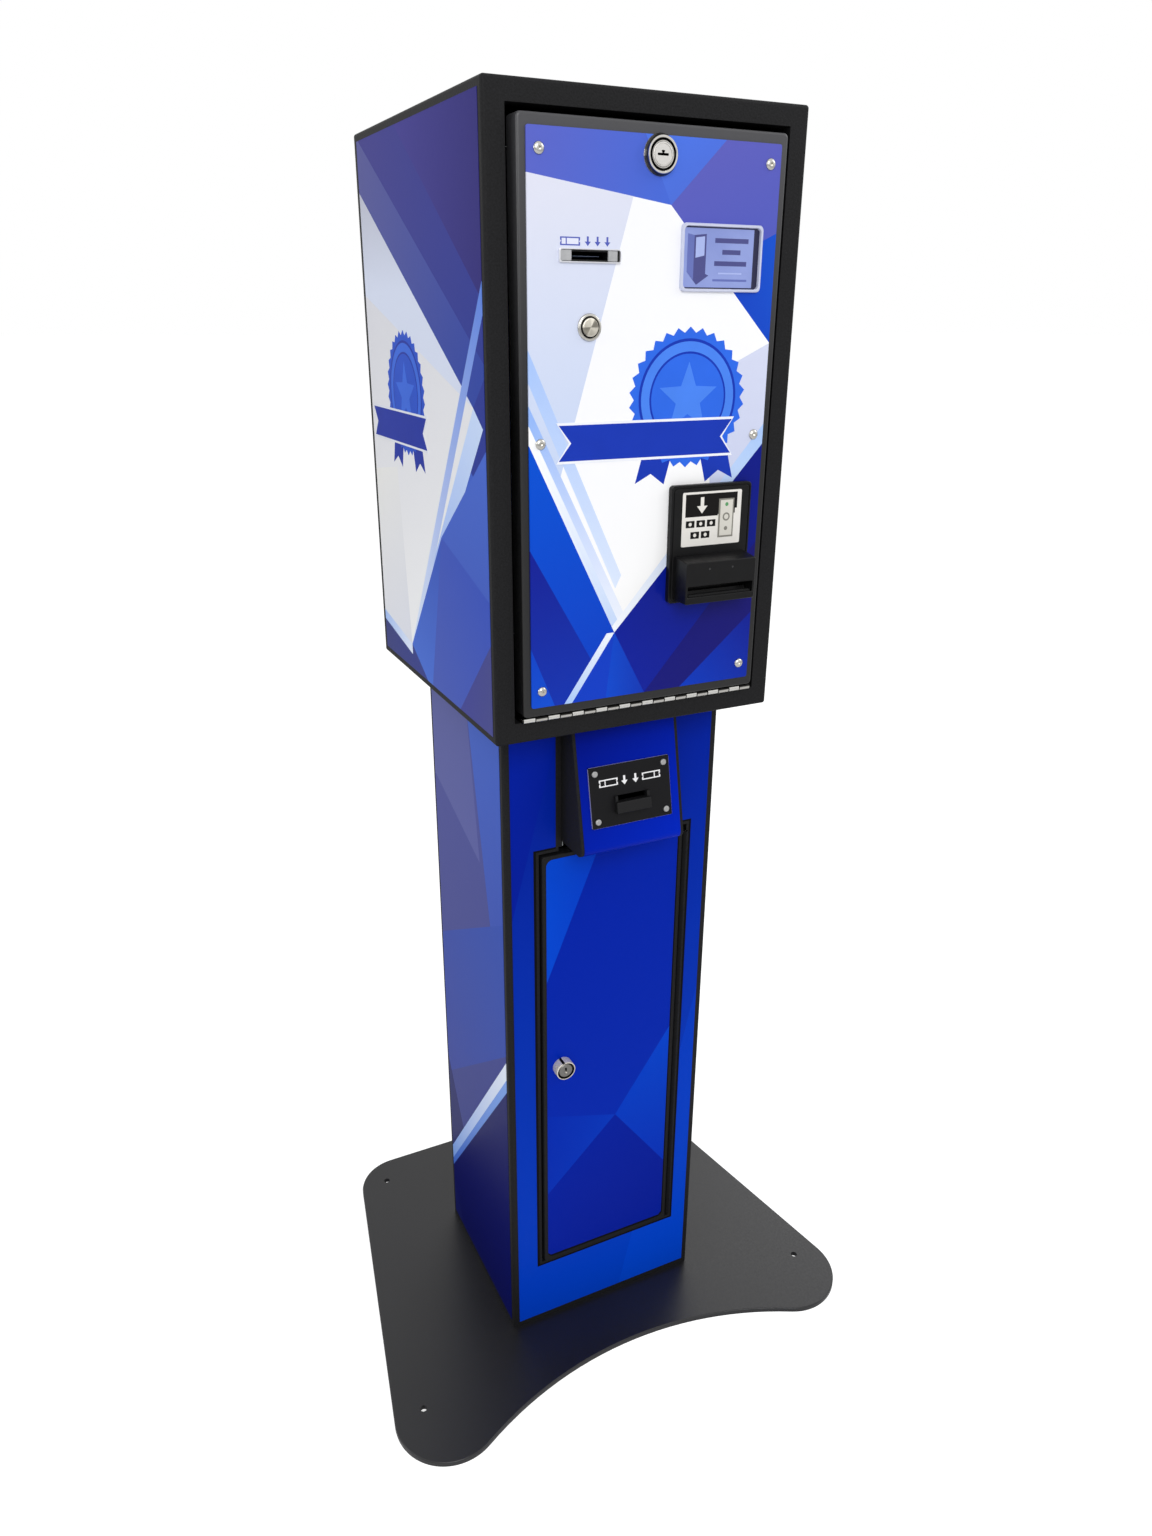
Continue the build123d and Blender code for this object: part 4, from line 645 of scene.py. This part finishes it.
def ink(name, colour, **sockets):
    """A printed colour with the very faint unevenness of the ink film."""
    material, tree, shader, place = finish(name, colour, Roughness=0.38, **sockets)
    noise = add(tree, "ShaderNodeTexNoise", {}, {"Vector": place, "Scale": 1 / 0.03})
    film = spread(tree, noise.outputs["Fac"], low=0.92, high=1.08)
    paint(tree, shader, blend(tree, 1.0, colour, film, "MULTIPLY"))
    return material


tones = ("mid blue", "light blue", "deep blue", "white")
door_inks = [
    ink(f"{tone} ink under the sheet", colour, **gloss)
    for tone, colour in zip(tones, ("2F6AE6", "4A84F0", "1838B2", "F2F4FC"))
]
film_inks = [
    ink(f"{tone} ink on film", colour, Specular_IOR_Level=film_shine)
    for tone, colour in zip(tones, ("2450C4", "3868D8", "1A309C", "DCE0EA"))
]
panel_front = -172.05
layer = 0.05
seal = 60.0
banner_half, banner_tall, banner_notch = 88.0, 15, 12
for side, origin, across, shift, body, slot, inks in (
    ("door", (36, panel_front, 1134), (1, 0, 0), -40, "head_door", "door_print", door_inks),
    ("left", (-152.7, 62, 1128), (0, -1, 0), -26, "cabinet", "wrap_film", film_inks),
    ("right", (152.7, 62, 1128), (0, 1, 0), 26, "cabinet", "wrap_film", film_inks),
):
    middle, light, deep, white = inks
    place = shown_on(origin, across)
    for end, lean in (("a", -1), ("b", 1)):
        tail = ((10, -30), (40, -30), (52, -72), (36, -64), (22, -74))
        tail = [(lean * across, up) for across, up in tail]
        make(f"{side}_seal_tail_{end}", cut_shape(tail, layer), place, deep, body)
    rows = (
        ("edge", toothed(seal, seal * 0.92, 30), 60, middle, 2),
        ("rim", seal * 0.84, 60, deep, 3),
        ("ring", seal * 0.8, 60, light, 4),
        ("line", seal * 0.66, 60, deep, 5),
        ("field", seal * 0.63, 60, middle, 6),
        ("star", toothed(seal * 0.52, seal * 0.22, 5), 10, light, 7),
    )
    for part, edge, segments, shade, step in rows:
        disc = turned([(0, edge), (layer * step, edge)], segments)
        make(f"{side}_seal_{part}", disc, place, shade, body)
    for part, grow, shade, step in (("border", 2.2, white, 8), ("band", 0, deep, 9)):
        half = banner_half + grow
        tall = banner_tall + grow
        strip = [
            (-half, -tall), (half, -tall), (half - banner_notch, 0), (half, tall), (-half, tall),
            (-half + banner_notch, 0),
        ]
        spot = place @ Matrix.Translation((shift, -34, 0))
        make(f"{side}_banner_{part}", cut_shape(strip, layer * step), spot, shade, body)

# Front panel screws
# Six domed stainless screws with a hexagon socket, which hold the printed sheet on the door
# pan. The last of them stands for the frame's own.
def hexagon(radius):
    """The edge of a hexagonal hole."""
    sixth = math.pi / 3
    return lambda angle: radius * math.cos(sixth / 2) / math.cos(angle % sixth - sixth / 2)


def domed_screw(radius, height, socket):
    """A button head: a rounded dome, and a hexagon socket sunk in it."""
    dome = ((0, 1), (0.25, 0.99), (0.6, 0.88), (0.88, 0.68), (1, 0.5))
    rings = [(height * up, radius * out) for up, out in dome]
    rings += [(height, hexagon(socket)), (height * 0.2, hexagon(socket))]
    return turned(rings, 24)


screw_steel = surface(
    "polished stainless steel", "C4C2BC", (0.003, "Roughness", 0.15, 0.28), Metallic=1.0,
    Roughness=0.2,
)
screw_places = [(x, z) for z in (1323.05, 1100.35, 877.65) for x in (-108.9, 108.9)]
for count, (x, z) in enumerate(screw_places, 1):
    spot = shown_on((x, panel_front, z))
    stands_for = ("door_graphic_screws",) if count == len(screw_places) else ()
    make(
        f"panel_screw_{count}", domed_screw(4.8, 2.2, 1.5), spot, screw_steel, "head_door",
        stands_for,
    )

# Cam locks
# The head's lock has a tapered chromed collar with a deep groove round the plug, and the
# pedestal's is a plain drum with a location notch. Each plug turns with the key.
def slot_hole(length, width, hump=0.0):
    """The edge of a keyway, with a hump over its middle."""
    def edge(angle):
        flat = min(
            length / 2 / max(abs(math.cos(angle)), 0.001),
            width / 2 / max(abs(math.sin(angle)), 0.001),
        )
        return max(flat, hump) if abs(angle - math.pi / 2) < 0.6 else flat
    return edge


def lined(bm, near, far, below, above=-1000.0, index=1):
    """Gives the second or third finish to the faces between two radii and two heights."""
    for face in bm.faces:
        middle = face.calc_center_median()
        if near < math.hypot(middle.x, middle.y) < far and above < middle.z < below:
            face.material_index = index
    return bm


lock_chrome = surface(
    "nickel chrome plate on the locks", "CFCDC8", (0.004, "Roughness", 0.08, 0.18), Metallic=1.0,
    Roughness=0.12,
)
plug_steel = surface(
    "brushed stainless plug", "DAD8D4", (0.002, "Roughness", 0.24, 0.38), Metallic=1.0,
    Roughness=0.3,
)
# A near-black finish that is painted shade in the grooves, keyways and notches of the locks and the
# button.
gap_shade = surface(
    "painted shade deep in a gap", "0C0B0A", (0.002, "Roughness", 0.45, 0.6), Roughness=0.5,
    Specular_IOR_Level=0.2,
)
# The taper's chrome is a darker copy of the collar's, painted shade where it faces away from the
# light.
shaded = surface(
    "smoked chrome plate on the taper", "4A4844", (0.004, "Roughness", 0.15, 0.28), Metallic=1.0,
    Roughness=0.2,
)
head_lock = shown_on((0, panel_front, 1324.15))
head_back = -29.6
collar = turned([
    (head_back, 12.0), (0, 12.0), (0, 15.7), (0.5, 15.9), (1.1, 15.7), (1.7, 15.1), (4.7, 14.0),
    (5.3, 13.8), (5.6, 13.4), (5.6, 12.5), (5.2, 12.1), (0.5, 12.0), (0.5, 10.4), (4.6, 10.3),
    (5.0, 10.1), (5.0, 9.7), (4.7, 9.45), (head_back, 9.45),
], 64, bored=True)
# The groove round the plug is painted dark as painted shade.
lined(collar, 10.3, 12.08, 5.1, 0.1)
# The taper's faces take the darker chrome of painted shade.
lined(collar, 13.8, 16.0, 5.0, 1.2, index=2)
make(
    "head_lock_collar", collar, head_lock, [lock_chrome, gap_shade, shaded], "head_door",
    ("head_lock_body",),
)
keyway = slot_hole(10.4, 1.9, 3.1)
plug = turned([
    (head_back - 4.9, 4.0), (head_back, 4.0), (head_back, 9.4), (4.2, 9.4), (4.8, 9.1), (4.9, 8.7),
    (4.9, 8.2), (4.4, 8.1), (4.4, 7.8), (4.9, 7.7), (4.9, keyway), (-2.0, keyway),
], 64)
# The inside of the keyway is painted dark as painted shade.
make(
    "head_lock_plug_face", lined(plug, 0, 5.6, 4.8, -2.1), head_lock, [plug_steel, gap_shade],
    "head_lock", ("head_lock_plug",),
)


notch_at, notch_half = 1.83, 0.1


def notched(radius, depth):
    """The edge of the drum, with the location notch cut in it near the top."""
    return lambda angle: radius - depth if abs(angle - notch_at) < notch_half else radius


satin_nickel = surface(
    "tumbled satin nickel plate", "DDD7CB", (0.004, "Roughness", 0.22, 0.34), Metallic=0.4,
    Roughness=0.28,
)
pedestal_lock = shown_on((-61.6, -115.25, 396.35))
pedestal_back = -15.6
drum = turned([
    (pedestal_back, 9.5), (0, 9.5), (0, notched(11.8, 1.6)), (11.0, notched(11.8, 1.6)),
    (11.5, notched(11.6, 1.4)), (11.8, 11.2), (11.9, 10.9), (11.8, 10.6), (11.4, 10.4), (8.0, 10.3),
    (8.0, 7.25), (pedestal_back, 7.25),
], 96, bored=True)
# The sunk ring round the plug is painted dark as painted shade, and so is the notch below.
lined(drum, 7.3, 10.36, 11.5, 7.9)
for face in drum.faces:
    middle = face.calc_center_median()
    aside = abs(math.atan2(middle.y, middle.x) - notch_at)
    if 0 < middle.z < 11.4 and math.hypot(middle.x, middle.y) < 11.7 and aside < 1.2 * notch_half:
        face.material_index = 1
make(
    "pedestal_lock_drum", drum, pedestal_lock, [satin_nickel, gap_shade],
    "pedestal_door", ("pedestal_lock_body",),
)
worn_steel = surface(
    "worn steel plug", "807E7B", (0.002, "Roughness", 0.28, 0.42), Metallic=1.0, Roughness=0.34,
)
keyway = slot_hole(2.4, 8.4)
plug = turned([
    (pedestal_back - 4.9, 4.0), (pedestal_back, 4.0), (pedestal_back, 7.2), (8.2, 7.2), (8.2, 8.5),
    (10.2, 8.5), (10.7, 8.0), (10.7, keyway), (6.0, keyway),
], 96)
# The ring round the plug and the keyway are painted dark as painted shade.
lined(plug, 8.4, 8.55, 10.1, 8.3)
make(
    "pedestal_lock_plug_face", lined(plug, 0, 4.4, 10.6, 5.9), pedestal_lock,
    [worn_steel, gap_shade], "pedestal_lock", ("pedestal_lock_plug",),
)
ward = turned([(6.0, 1.2), (10.5, 1.2), (11.0, 0.9), (11.1, 0.4)], 16)
spot = pedestal_lock @ Matrix.Translation((0.4, -2.9, 0))
make("pedestal_lock_ward", ward, spot, satin_nickel, "pedestal_lock")

# Push button
# A 22 mm vandal-resistant button: a bevelled stainless ring holds a flat cap, brushed in
# circles. Its two bright and two dull opposite wedges are painted highlight and painted shade.
button_x, button_z = -63.5, 1193.35
button = shown_on((button_x, panel_front, button_z))
ring = turned([
    (-24, 9.5), (0, 9.5), (0, 11.0), (1.1, 11.0), (1.9, 10.4), (2.3, 9.4), (2.3, 8.9), (1.9, 8.6),
    (0.2, 8.5), (0.2, 7.7), (-8.0, 7.7),
], 64)
# The groove between the ring and the cap is painted dark as painted shade.
make(
    "button_ring", lined(ring, 0, 8.56, 1.8), button, [screw_steel, gap_shade], "head_door",
    ("button_housing",),
)
circled, tree, shader, place = finish(
    "circle brushed stainless", "B4B1A8", (0.0008, "Roughness", 0.28, 0.4), Metallic=1.0,
    Roughness=0.34, Anisotropic=0.85,
)
tangent = add(tree, "ShaderNodeTangent", {"direction_type": "RADIAL", "axis": "Y"})
tree.links.new(tangent.outputs[0], shader.inputs["Tangent"])
facing_front = add(
    tree, "ShaderNodeMapping", {"vector_type": "POINT"},
    {"Vector": place, "Location": (-button_x / 1000, -button_z / 1000, 0),
     "Rotation": (-math.pi / 2, 0, 0)},
).outputs[0]
around = add(tree, "ShaderNodeTexGradient", {"gradient_type": "RADIAL"}, {"Vector": facing_front})
# The cap's colour carries the wedges: painted highlight in two, painted shade in the other two.
wedge_at, wedge_from, wedge_to = 0.083, 0.06, 0.11
off_wedge = worked(tree, "SUBTRACT", around.outputs["Fac"], wedge_at)
from_wedge = worked(tree, "PINGPONG", off_wedge, 0.25)
bright = spread(tree, from_wedge, wedge_from, wedge_to, ease="SMOOTHSTEP")
paint(tree, shader, blend(tree, bright, "8C887E", "D6D1C4"))
cap = [(-5.4, 7.6), (2.4, 7.6), (3.1, 7.3), (3.4, 6.9), (3.5, 6.4), (3.5, 0.05)]
make("button_face", turned(cap, 64), button, circled, "push_button", ("button_cap",))

# Ticket exit
# A silver anodised frame with a grey guide block at each end. The strip of tickets comes out of
# the dark throat between them.
def rounded(width, height, corner, segments):
    """The one face of a rounded oblong, with the mesh that holds it."""
    bm = bmesh.new()
    bmesh.ops.create_grid(bm, x_segments=1, y_segments=1, size=0.5)
    bmesh.ops.scale(bm, vec=(width, height, 1), verts=bm.verts)
    bmesh.ops.bevel(
        bm, geom=bm.verts[:], offset=corner, offset_type="OFFSET", segments=segments, profile=0.5,
        affect="VERTICES", material=-1,
    )
    return bm, list(bm.faces)[0]


def stepped(width, height, corner, steps, bored=False):
    """A rounded plate raised and sunk in steps of (inset, rise) from its back. Each step draws
    the edge in towards the middle."""
    bm, cap = rounded(width, height, corner, 6)
    for inset, rise in steps:
        cap = bmesh.ops.extrude_discrete_faces(bm, faces=[cap])["faces"][0]
        drawn = ((width - 2 * inset) / width, (height - 2 * inset) / height, 1)
        bmesh.ops.scale(bm, vec=drawn, verts=cap.verts)
        bmesh.ops.translate(bm, vec=(0, 0, rise), verts=cap.verts)
        width, height = width - 2 * inset, height - 2 * inset
    if bored:
        bmesh.ops.delete(bm, geom=[cap], context="FACES_ONLY")
    return closed(bm, bored)


anodised = surface(
    "silver anodised aluminium", "E6E7EC", (0.002, "Roughness", 0.28, 0.4), Metallic=0.8,
    Roughness=0.3,
)
exit_place = (-63.5, panel_front, 1247.85)
throat = -9.5
frame_steps = [(0, 1.7), (0.5, 0.5), (0.5, 0.0), (0.2, -0.5), (0, -1.7)]
frame_ring = stepped(57, 11, 1.8, frame_steps, bored=True)
make(
    "exit_frame", frame_ring, shown_on(exit_place), anodised, "head_door",
    ("ticket_exit_bezel",),
)
throat_black = surface(
    "black moulded throat", "0D0D0E", (0.004, "Roughness", 0.45, 0.58), Roughness=0.5,
    Specular_IOR_Level=0.3,
)
liner = stepped(36, 9, 1.0, [(0, 0.3 - throat), (1.4, 0.0), (0, throat - 0.3)], bored=True)
spot = shown_on((exit_place[0], panel_front - throat, exit_place[2]))
make("exit_throat", liner, spot, throat_black, "head_door")
block_grey = surface(
    "grey moulded guide block", "A9AAAC", (0.004, "Base Color", "A2A3A5", "B0B1B3"), Roughness=0.5,
)
for end, pad, across, wide in (("left", -22.4, -22.3, 9.7), ("right", 22.4, 20.6, 8.6)):
    spot = shown_on((exit_place[0] + pad, panel_front, exit_place[2]))
    # Under each block lies a thin dark sheet that shows round it as painted shade in the gaps.
    gap_shade_sheet = stepped(9.8, 8.4, 0.2, [(0, 0.2)])
    make(f"exit_gap_shade_{end}", gap_shade_sheet, spot, throat_black, "head_door")
    block = stepped(wide, 8.0, 0.5, [(0, 1.2), (0.3, 0.3)])
    spot = shown_on((exit_place[0] + across, panel_front - 0.3, exit_place[2]))
    make(f"exit_block_{end}", block, spot, block_grey, "head_door")

# Display
# A lit screen under a pale clear moulding that stands on the door. A dark sheet beside the
# picture is painted shade in the recess. The picture is a plain drawing and bars.
display = (63.5, panel_front, 1248.7)
frame_clear = surface(
    "clear moulded acrylic frame", "DCE1F8", (0.03, "Roughness", 0.05, 0.12), Roughness=0.08,
    Transmission_Weight=0.2, IOR=1.49,
)
ring_steps = [(0, 2.2), (0.6, 0.8), (1.3, 0.0), (0.4, -0.4), (0.2, -2.6)]
ring = stepped(82, 53.5, 4.0, ring_steps, bored=True)
make(
    "display_frame", ring, shown_on(display), frame_clear, "head_door",
    ("lcd_window",),
)
# A dark sheet that shows round the picture as painted shade in the recess.
recess_shade = surface(
    "painted shade in the display's recess", "14143C", (0.02, "Roughness", 0.3, 0.45), Roughness=0.35,
)
recess_sheet = stepped(76.8, 48.3, 1.4, [(0, 0.2)])
make("display_recess_shade", recess_sheet, shown_on(display), recess_shade, "head_door")
glow_screen = surface(
    "lit screen", "7C8BC4", (0.05, "Base Color", "7482BE", "8694CC"), Roughness=0.12,
    Emission_Color=linear("8090CC"), Emission_Strength=0.2, Coat_Weight=0.3, Coat_Roughness=0.03,
)
picture_x = display[0] - 2.4


def oblong(low, high, left, right):
    """The outline of a printed oblong."""
    return [(left, low), (right, low), (right, high), (left, high)]


def print_marks(prefix, marks, place, body):
    """Prints flat marks, each given by its name, outline, ink and height in layers of ink."""
    for name, outline, shade, height in marks:
        make(f"{prefix}_{name}", cut_shape(outline, layer * height), place, shade, body)


shown = cut_shape(oblong(-23.2, 23.2, -35.2, 35.2), 0.1)
spot = shown_on((picture_x, panel_front - 0.2, display[2]))
make("display_picture", shown, spot, glow_screen, "head_door")
screen_dark, screen_mid, screen_light = (
    ink(f"{tone} pixels", colour, Specular_IOR_Level=0.3)
    for tone, colour in (("dark", "4A4C86"), ("mid", "6470B4"), ("pale", "AAB8EC"))
)
wider, taller = 1.1, 1.25
spot = shown_on((picture_x, panel_front - 0.3, display[2])) @ Matrix.Diagonal((wider, taller, 1, 1))
print_marks("screen", (
    ("side", [(-29, -9), (-23, -14), (-23, 14), (-29, 15)], screen_mid, 1),
    ("front", [(-23, -14), (-12, -10), (-12, 15), (-23, 14)], screen_dark, 1),
    ("face", [(-21.5, 0), (-13.5, 1.5), (-13.5, 13.5), (-21.5, 12.6)], screen_light, 2),
    ("foot", [(-29, -9), (-20, -17), (-9, -11), (-12, -10), (-23, -14)], screen_dark, 2),
    ("row_a", oblong(9.6, 12.6, -4, 27), screen_dark, 1),
    ("row_b", oblong(2.4, 5.4, 3, 20), screen_dark, 1),
    ("row_c", oblong(-4.8, -1.8, -4, 26), screen_dark, 1),
    ("row_d", oblong(-10, -9, 0, 22), screen_light, 1),
    ("row_e", oblong(-14.6, -13.2, -5, 27), screen_mid, 1),
), spot, "head_door")

# Banknote acceptor
# A moulded ABS plate with a stepped rim carries the label and the snout, whose top slopes and
# whose mouth has ribs. The printed card label shows a banknote and an arrow.
def drawn_through(levels, corner):
    """A rounded block drawn through levels of (width, height, shift up, out) in millimetres."""
    width, height, shift, out = levels[0]
    bm, cap = rounded(width, height, corner, 4)
    bmesh.ops.translate(bm, vec=(0, shift, out), verts=bm.verts)
    for wide, tall, up, far in levels[1:]:
        cap = bmesh.ops.extrude_discrete_faces(bm, faces=[cap])["faces"][0]
        bmesh.ops.translate(bm, vec=(0, -shift, 0), verts=cap.verts)
        bmesh.ops.scale(bm, vec=(wide / width, tall / height, 1), verts=cap.verts)
        bmesh.ops.translate(bm, vec=(0, up, far - out), verts=cap.verts)
        width, height, shift, out = wide, tall, up, far
    return closed(bm)


acceptor_x = 63.5
bill_plate = stepped(87, 109.6, 4.0, [
    (0, 5.6), (0.4, 0.5), (1.4, 0.0), (0.3, -0.7), (0.6, 0.0), (0.3, 0.8), (0.3, 0.3),
])
make(
    "bill_plate", bill_plate, shown_on((acceptor_x, panel_front, 1003.75)), black_plastic,
    "head_door", ("bill_bezel",),
)
mouth_up = -9.5
snout = drawn_through([
    (76.4, 42.0, 0.0, 5.0), (76.4, 42.0, 0.0, 6.6), (76.4, 38.9, -1.55, 28.2),
    (75.1, 37.6, -1.55, 28.9), (73.2, 11.2, mouth_up, 28.9), (72.0, 10.0, mouth_up, 28.3),
    (72.0, 10.0, mouth_up, 15.0), (71.0, 4.6, mouth_up, 14.0), (71.0, 4.6, mouth_up, 7.0),
], 1.2)
make(
    "bill_snout", snout, shown_on((acceptor_x, panel_front, 973.35)), black_plastic,
    "head_door",
)
label_black, label_grey, label_pale, label_green, label_white = (
    ink(f"{tone} of the label", colour, Specular_IOR_Level=0.15)
    for tone, colour in (
        ("black ink", "0E0C0C"), ("grey ink", "86847C"), ("pale ink", "D9D6CD"),
        ("green ink", "5E9C68"), ("bare white", "E8E5DF"),
    )
)
label_front = -178.85
on_label = shown_on((acceptor_x, label_front, 1027.05))


def round_spot(radius, at):
    """The outline of a printed spot."""
    angles = (turn * math.pi / 12 for turn in range(24))
    return [(at[0] + radius * math.cos(one), at[1] + radius * math.sin(one)) for one in angles]


arrow_down = [(-1.6, 7), (-1.6, 0), (-5, 0), (0, -6), (5, 0), (1.6, 0), (1.6, 7)]


def sized(outline, size, at=(0, 0)):
    """An outline drawn to another size and moved."""
    return [(x * size + at[0], y * size + at[1]) for x, y in outline]


marks = [
    ("head", oblong(3.4, 23, -29, 27.6), label_black, 1),
    ("foot", oblong(2.2, 3.5, -29, 6.6), label_black, 1),
    ("gap", oblong(2.0, 8.0, 25.4, 28), label_white, 2),
    ("arrow", sized(arrow_down, 1.15, (-11, 12)), label_white, 2),
    ("note", oblong(-18.6, 17.4, 7.4, 24.2), label_grey, 3),
    ("note_inside", oblong(-17.0, 16.0, 9.2, 22.8), label_pale, 4),
    ("note_spot", round_spot(3.9, (16, 0.4)), label_grey, 5),
    ("note_ring", round_spot(2.4, (16, 0.4)), label_pale, 6),
    ("note_seal", round_spot(1.8, (16, 12)), label_green, 5),
    ("note_mark", round_spot(1.9, (16, -10.4)), label_grey, 5),
]
box_wide, box_tall = 9.4, 6.4
for row, (low, columns) in enumerate(((-7.6, (-28, -16.5, -5)), (-18, (-22.5, -11)))):
    for column, left in enumerate(columns):
        box = oblong(low, low + box_tall, left, left + box_wide)
        middle = (left + box_wide / 2, low + box_tall / 2)
        marks.append((f"row_{row}_{column}", box, label_black, 1))
        marks.append((f"dot_{row}_{column}", round_spot(1.7, middle), label_white, 2))
print_marks("label", marks, on_label, "head_door")

sink_grey = surface(
    "black moulded ABS in a sink mark", "2E2E30", (0.002, "Roughness", 0.25, 0.38), Roughness=0.3,
)
snout_front = -200.95
for number, across in enumerate((-13.3, 12.0), 1):
    mark = turned([(0, 1.0), (0.12, 0.9), (0.15, 0.5)], 20)
    spot = shown_on((acceptor_x + across, snout_front, 984.5))
    make(f"snout_mark_{number}", mark, spot, sink_grey, "head_door")
for number, back in enumerate((2.5, 5.3), 1):
    rib = stepped(68.6, 2.2, 0.6, [(0, 0.6), (0.3, 0.3)])
    spot = shown_on((acceptor_x, snout_front + back, 959.9))
    make(f"mouth_rib_{number}", rib, spot, black_plastic, "head_door")

# Slot plate
# Black engraving laminate with a pale core, which shows along its cut edges and where the
# pictogram is engraved. Four dull nickel screws hold it on the hood.
plate_up = Vector((0, math.sin(hood_lean), math.cos(hood_lean)))
plate_middle = Vector((0, -151.38, 746.9))
engraved, tree, shader, place = finish(
    "black engraving laminate", "111112", relief=(0.0009, 0.00002), Roughness=0.5,
    Specular_IOR_Level=0.12,
)
offset = add(
    tree, "ShaderNodeVectorMath", {"operation": "SUBTRACT"}, {0: place, 1: plate_middle / 1000},
).outputs[0]
edge = None
for direction, half in ((frontal, 46.9), (plate_up, 32.15)):
    away = worked(tree, "ABSOLUTE", along(tree, offset, direction))
    over = worked(tree, "GREATER_THAN", away, half / 1000)
    edge = over if edge is None else worked(tree, "MAXIMUM", edge, over)
paint(tree, shader, blend(tree, edge, "131315", "8F90B4"))
give(engraved, "slot_plate")
nickel = surface(
    "dull nickel plated screw", "A8A8A8", (0.002, "Roughness", 0.5, 0.65), Metallic=1.0,
    Roughness=0.55,
)
give(nickel, "slot_plate_screws")
core_white = ink("pale core of the laminate", "F0F0F2")
on_plate = shown_on(plate_middle, up=plate_up)
ticket_sign = [
    (-9, -3.2), (9, -3.2), (9, -1), (8, 0), (9, 1), (9, 3.2), (-9, 3.2), (-9, 1), (-8, 0), (-9, -1),
]
core_black = ink("black face of the laminate", "131315", Specular_IOR_Level=0.12)
inside = (11.4, 16.6)
print_marks("slot_sign", (
    ("ticket_a", sized(ticket_sign, 1.2, (-25, 14)), core_white, 1.2),
    ("stub_a", oblong(*inside, -34.2, -29.4), core_black, 2),
    ("body_a", oblong(*inside, -28.2, -15.8), core_black, 2),
    ("arrow_a", sized(arrow_down, 0.74, (-6.5, 13.6)), core_white, 1.2),
    ("arrow_b", sized(arrow_down, 0.74, (6.5, 13.6)), core_white, 1.2),
    ("ticket_b", sized(ticket_sign, 1.2, (25, 14)), core_white, 1.2),
    ("stub_b", oblong(*inside, 29.4, 34.2), core_black, 2),
    ("body_b", oblong(*inside, 15.8, 28.2), core_black, 2),
), on_plate, "cabinet")

# Exit sign
# A ticket and three arrows in blue ink, printed on the front panel over the exit to show where
# the strip of tickets comes out.
exit_ink = ink("blue ink of the exit sign", "5560B8", **gloss)
exit_pale = ink("pale ink of the exit sign", "E2E5F6", **gloss)
spot = shown_on((-68.5, panel_front, 1258.3))
print_marks("exit_sign", (
    ("ticket", sized(ticket_sign, 1.0, (-13, 0)), exit_ink, 1.2),
    ("stub", oblong(-2.2, 2.2, -20.6, -17.0), exit_pale, 2),
    ("body", oblong(-2.2, 2.2, -16.0, -5.4), exit_pale, 2),
    ("arrow_a", sized(arrow_down, 0.55, (3, 0)), exit_ink, 1.2),
    ("arrow_b", sized(arrow_down, 0.55, (12, 0)), exit_ink, 1.2),
    ("arrow_c", sized(arrow_down, 0.55, (21, 0)), exit_ink, 1.2),
), spot, "head_door")
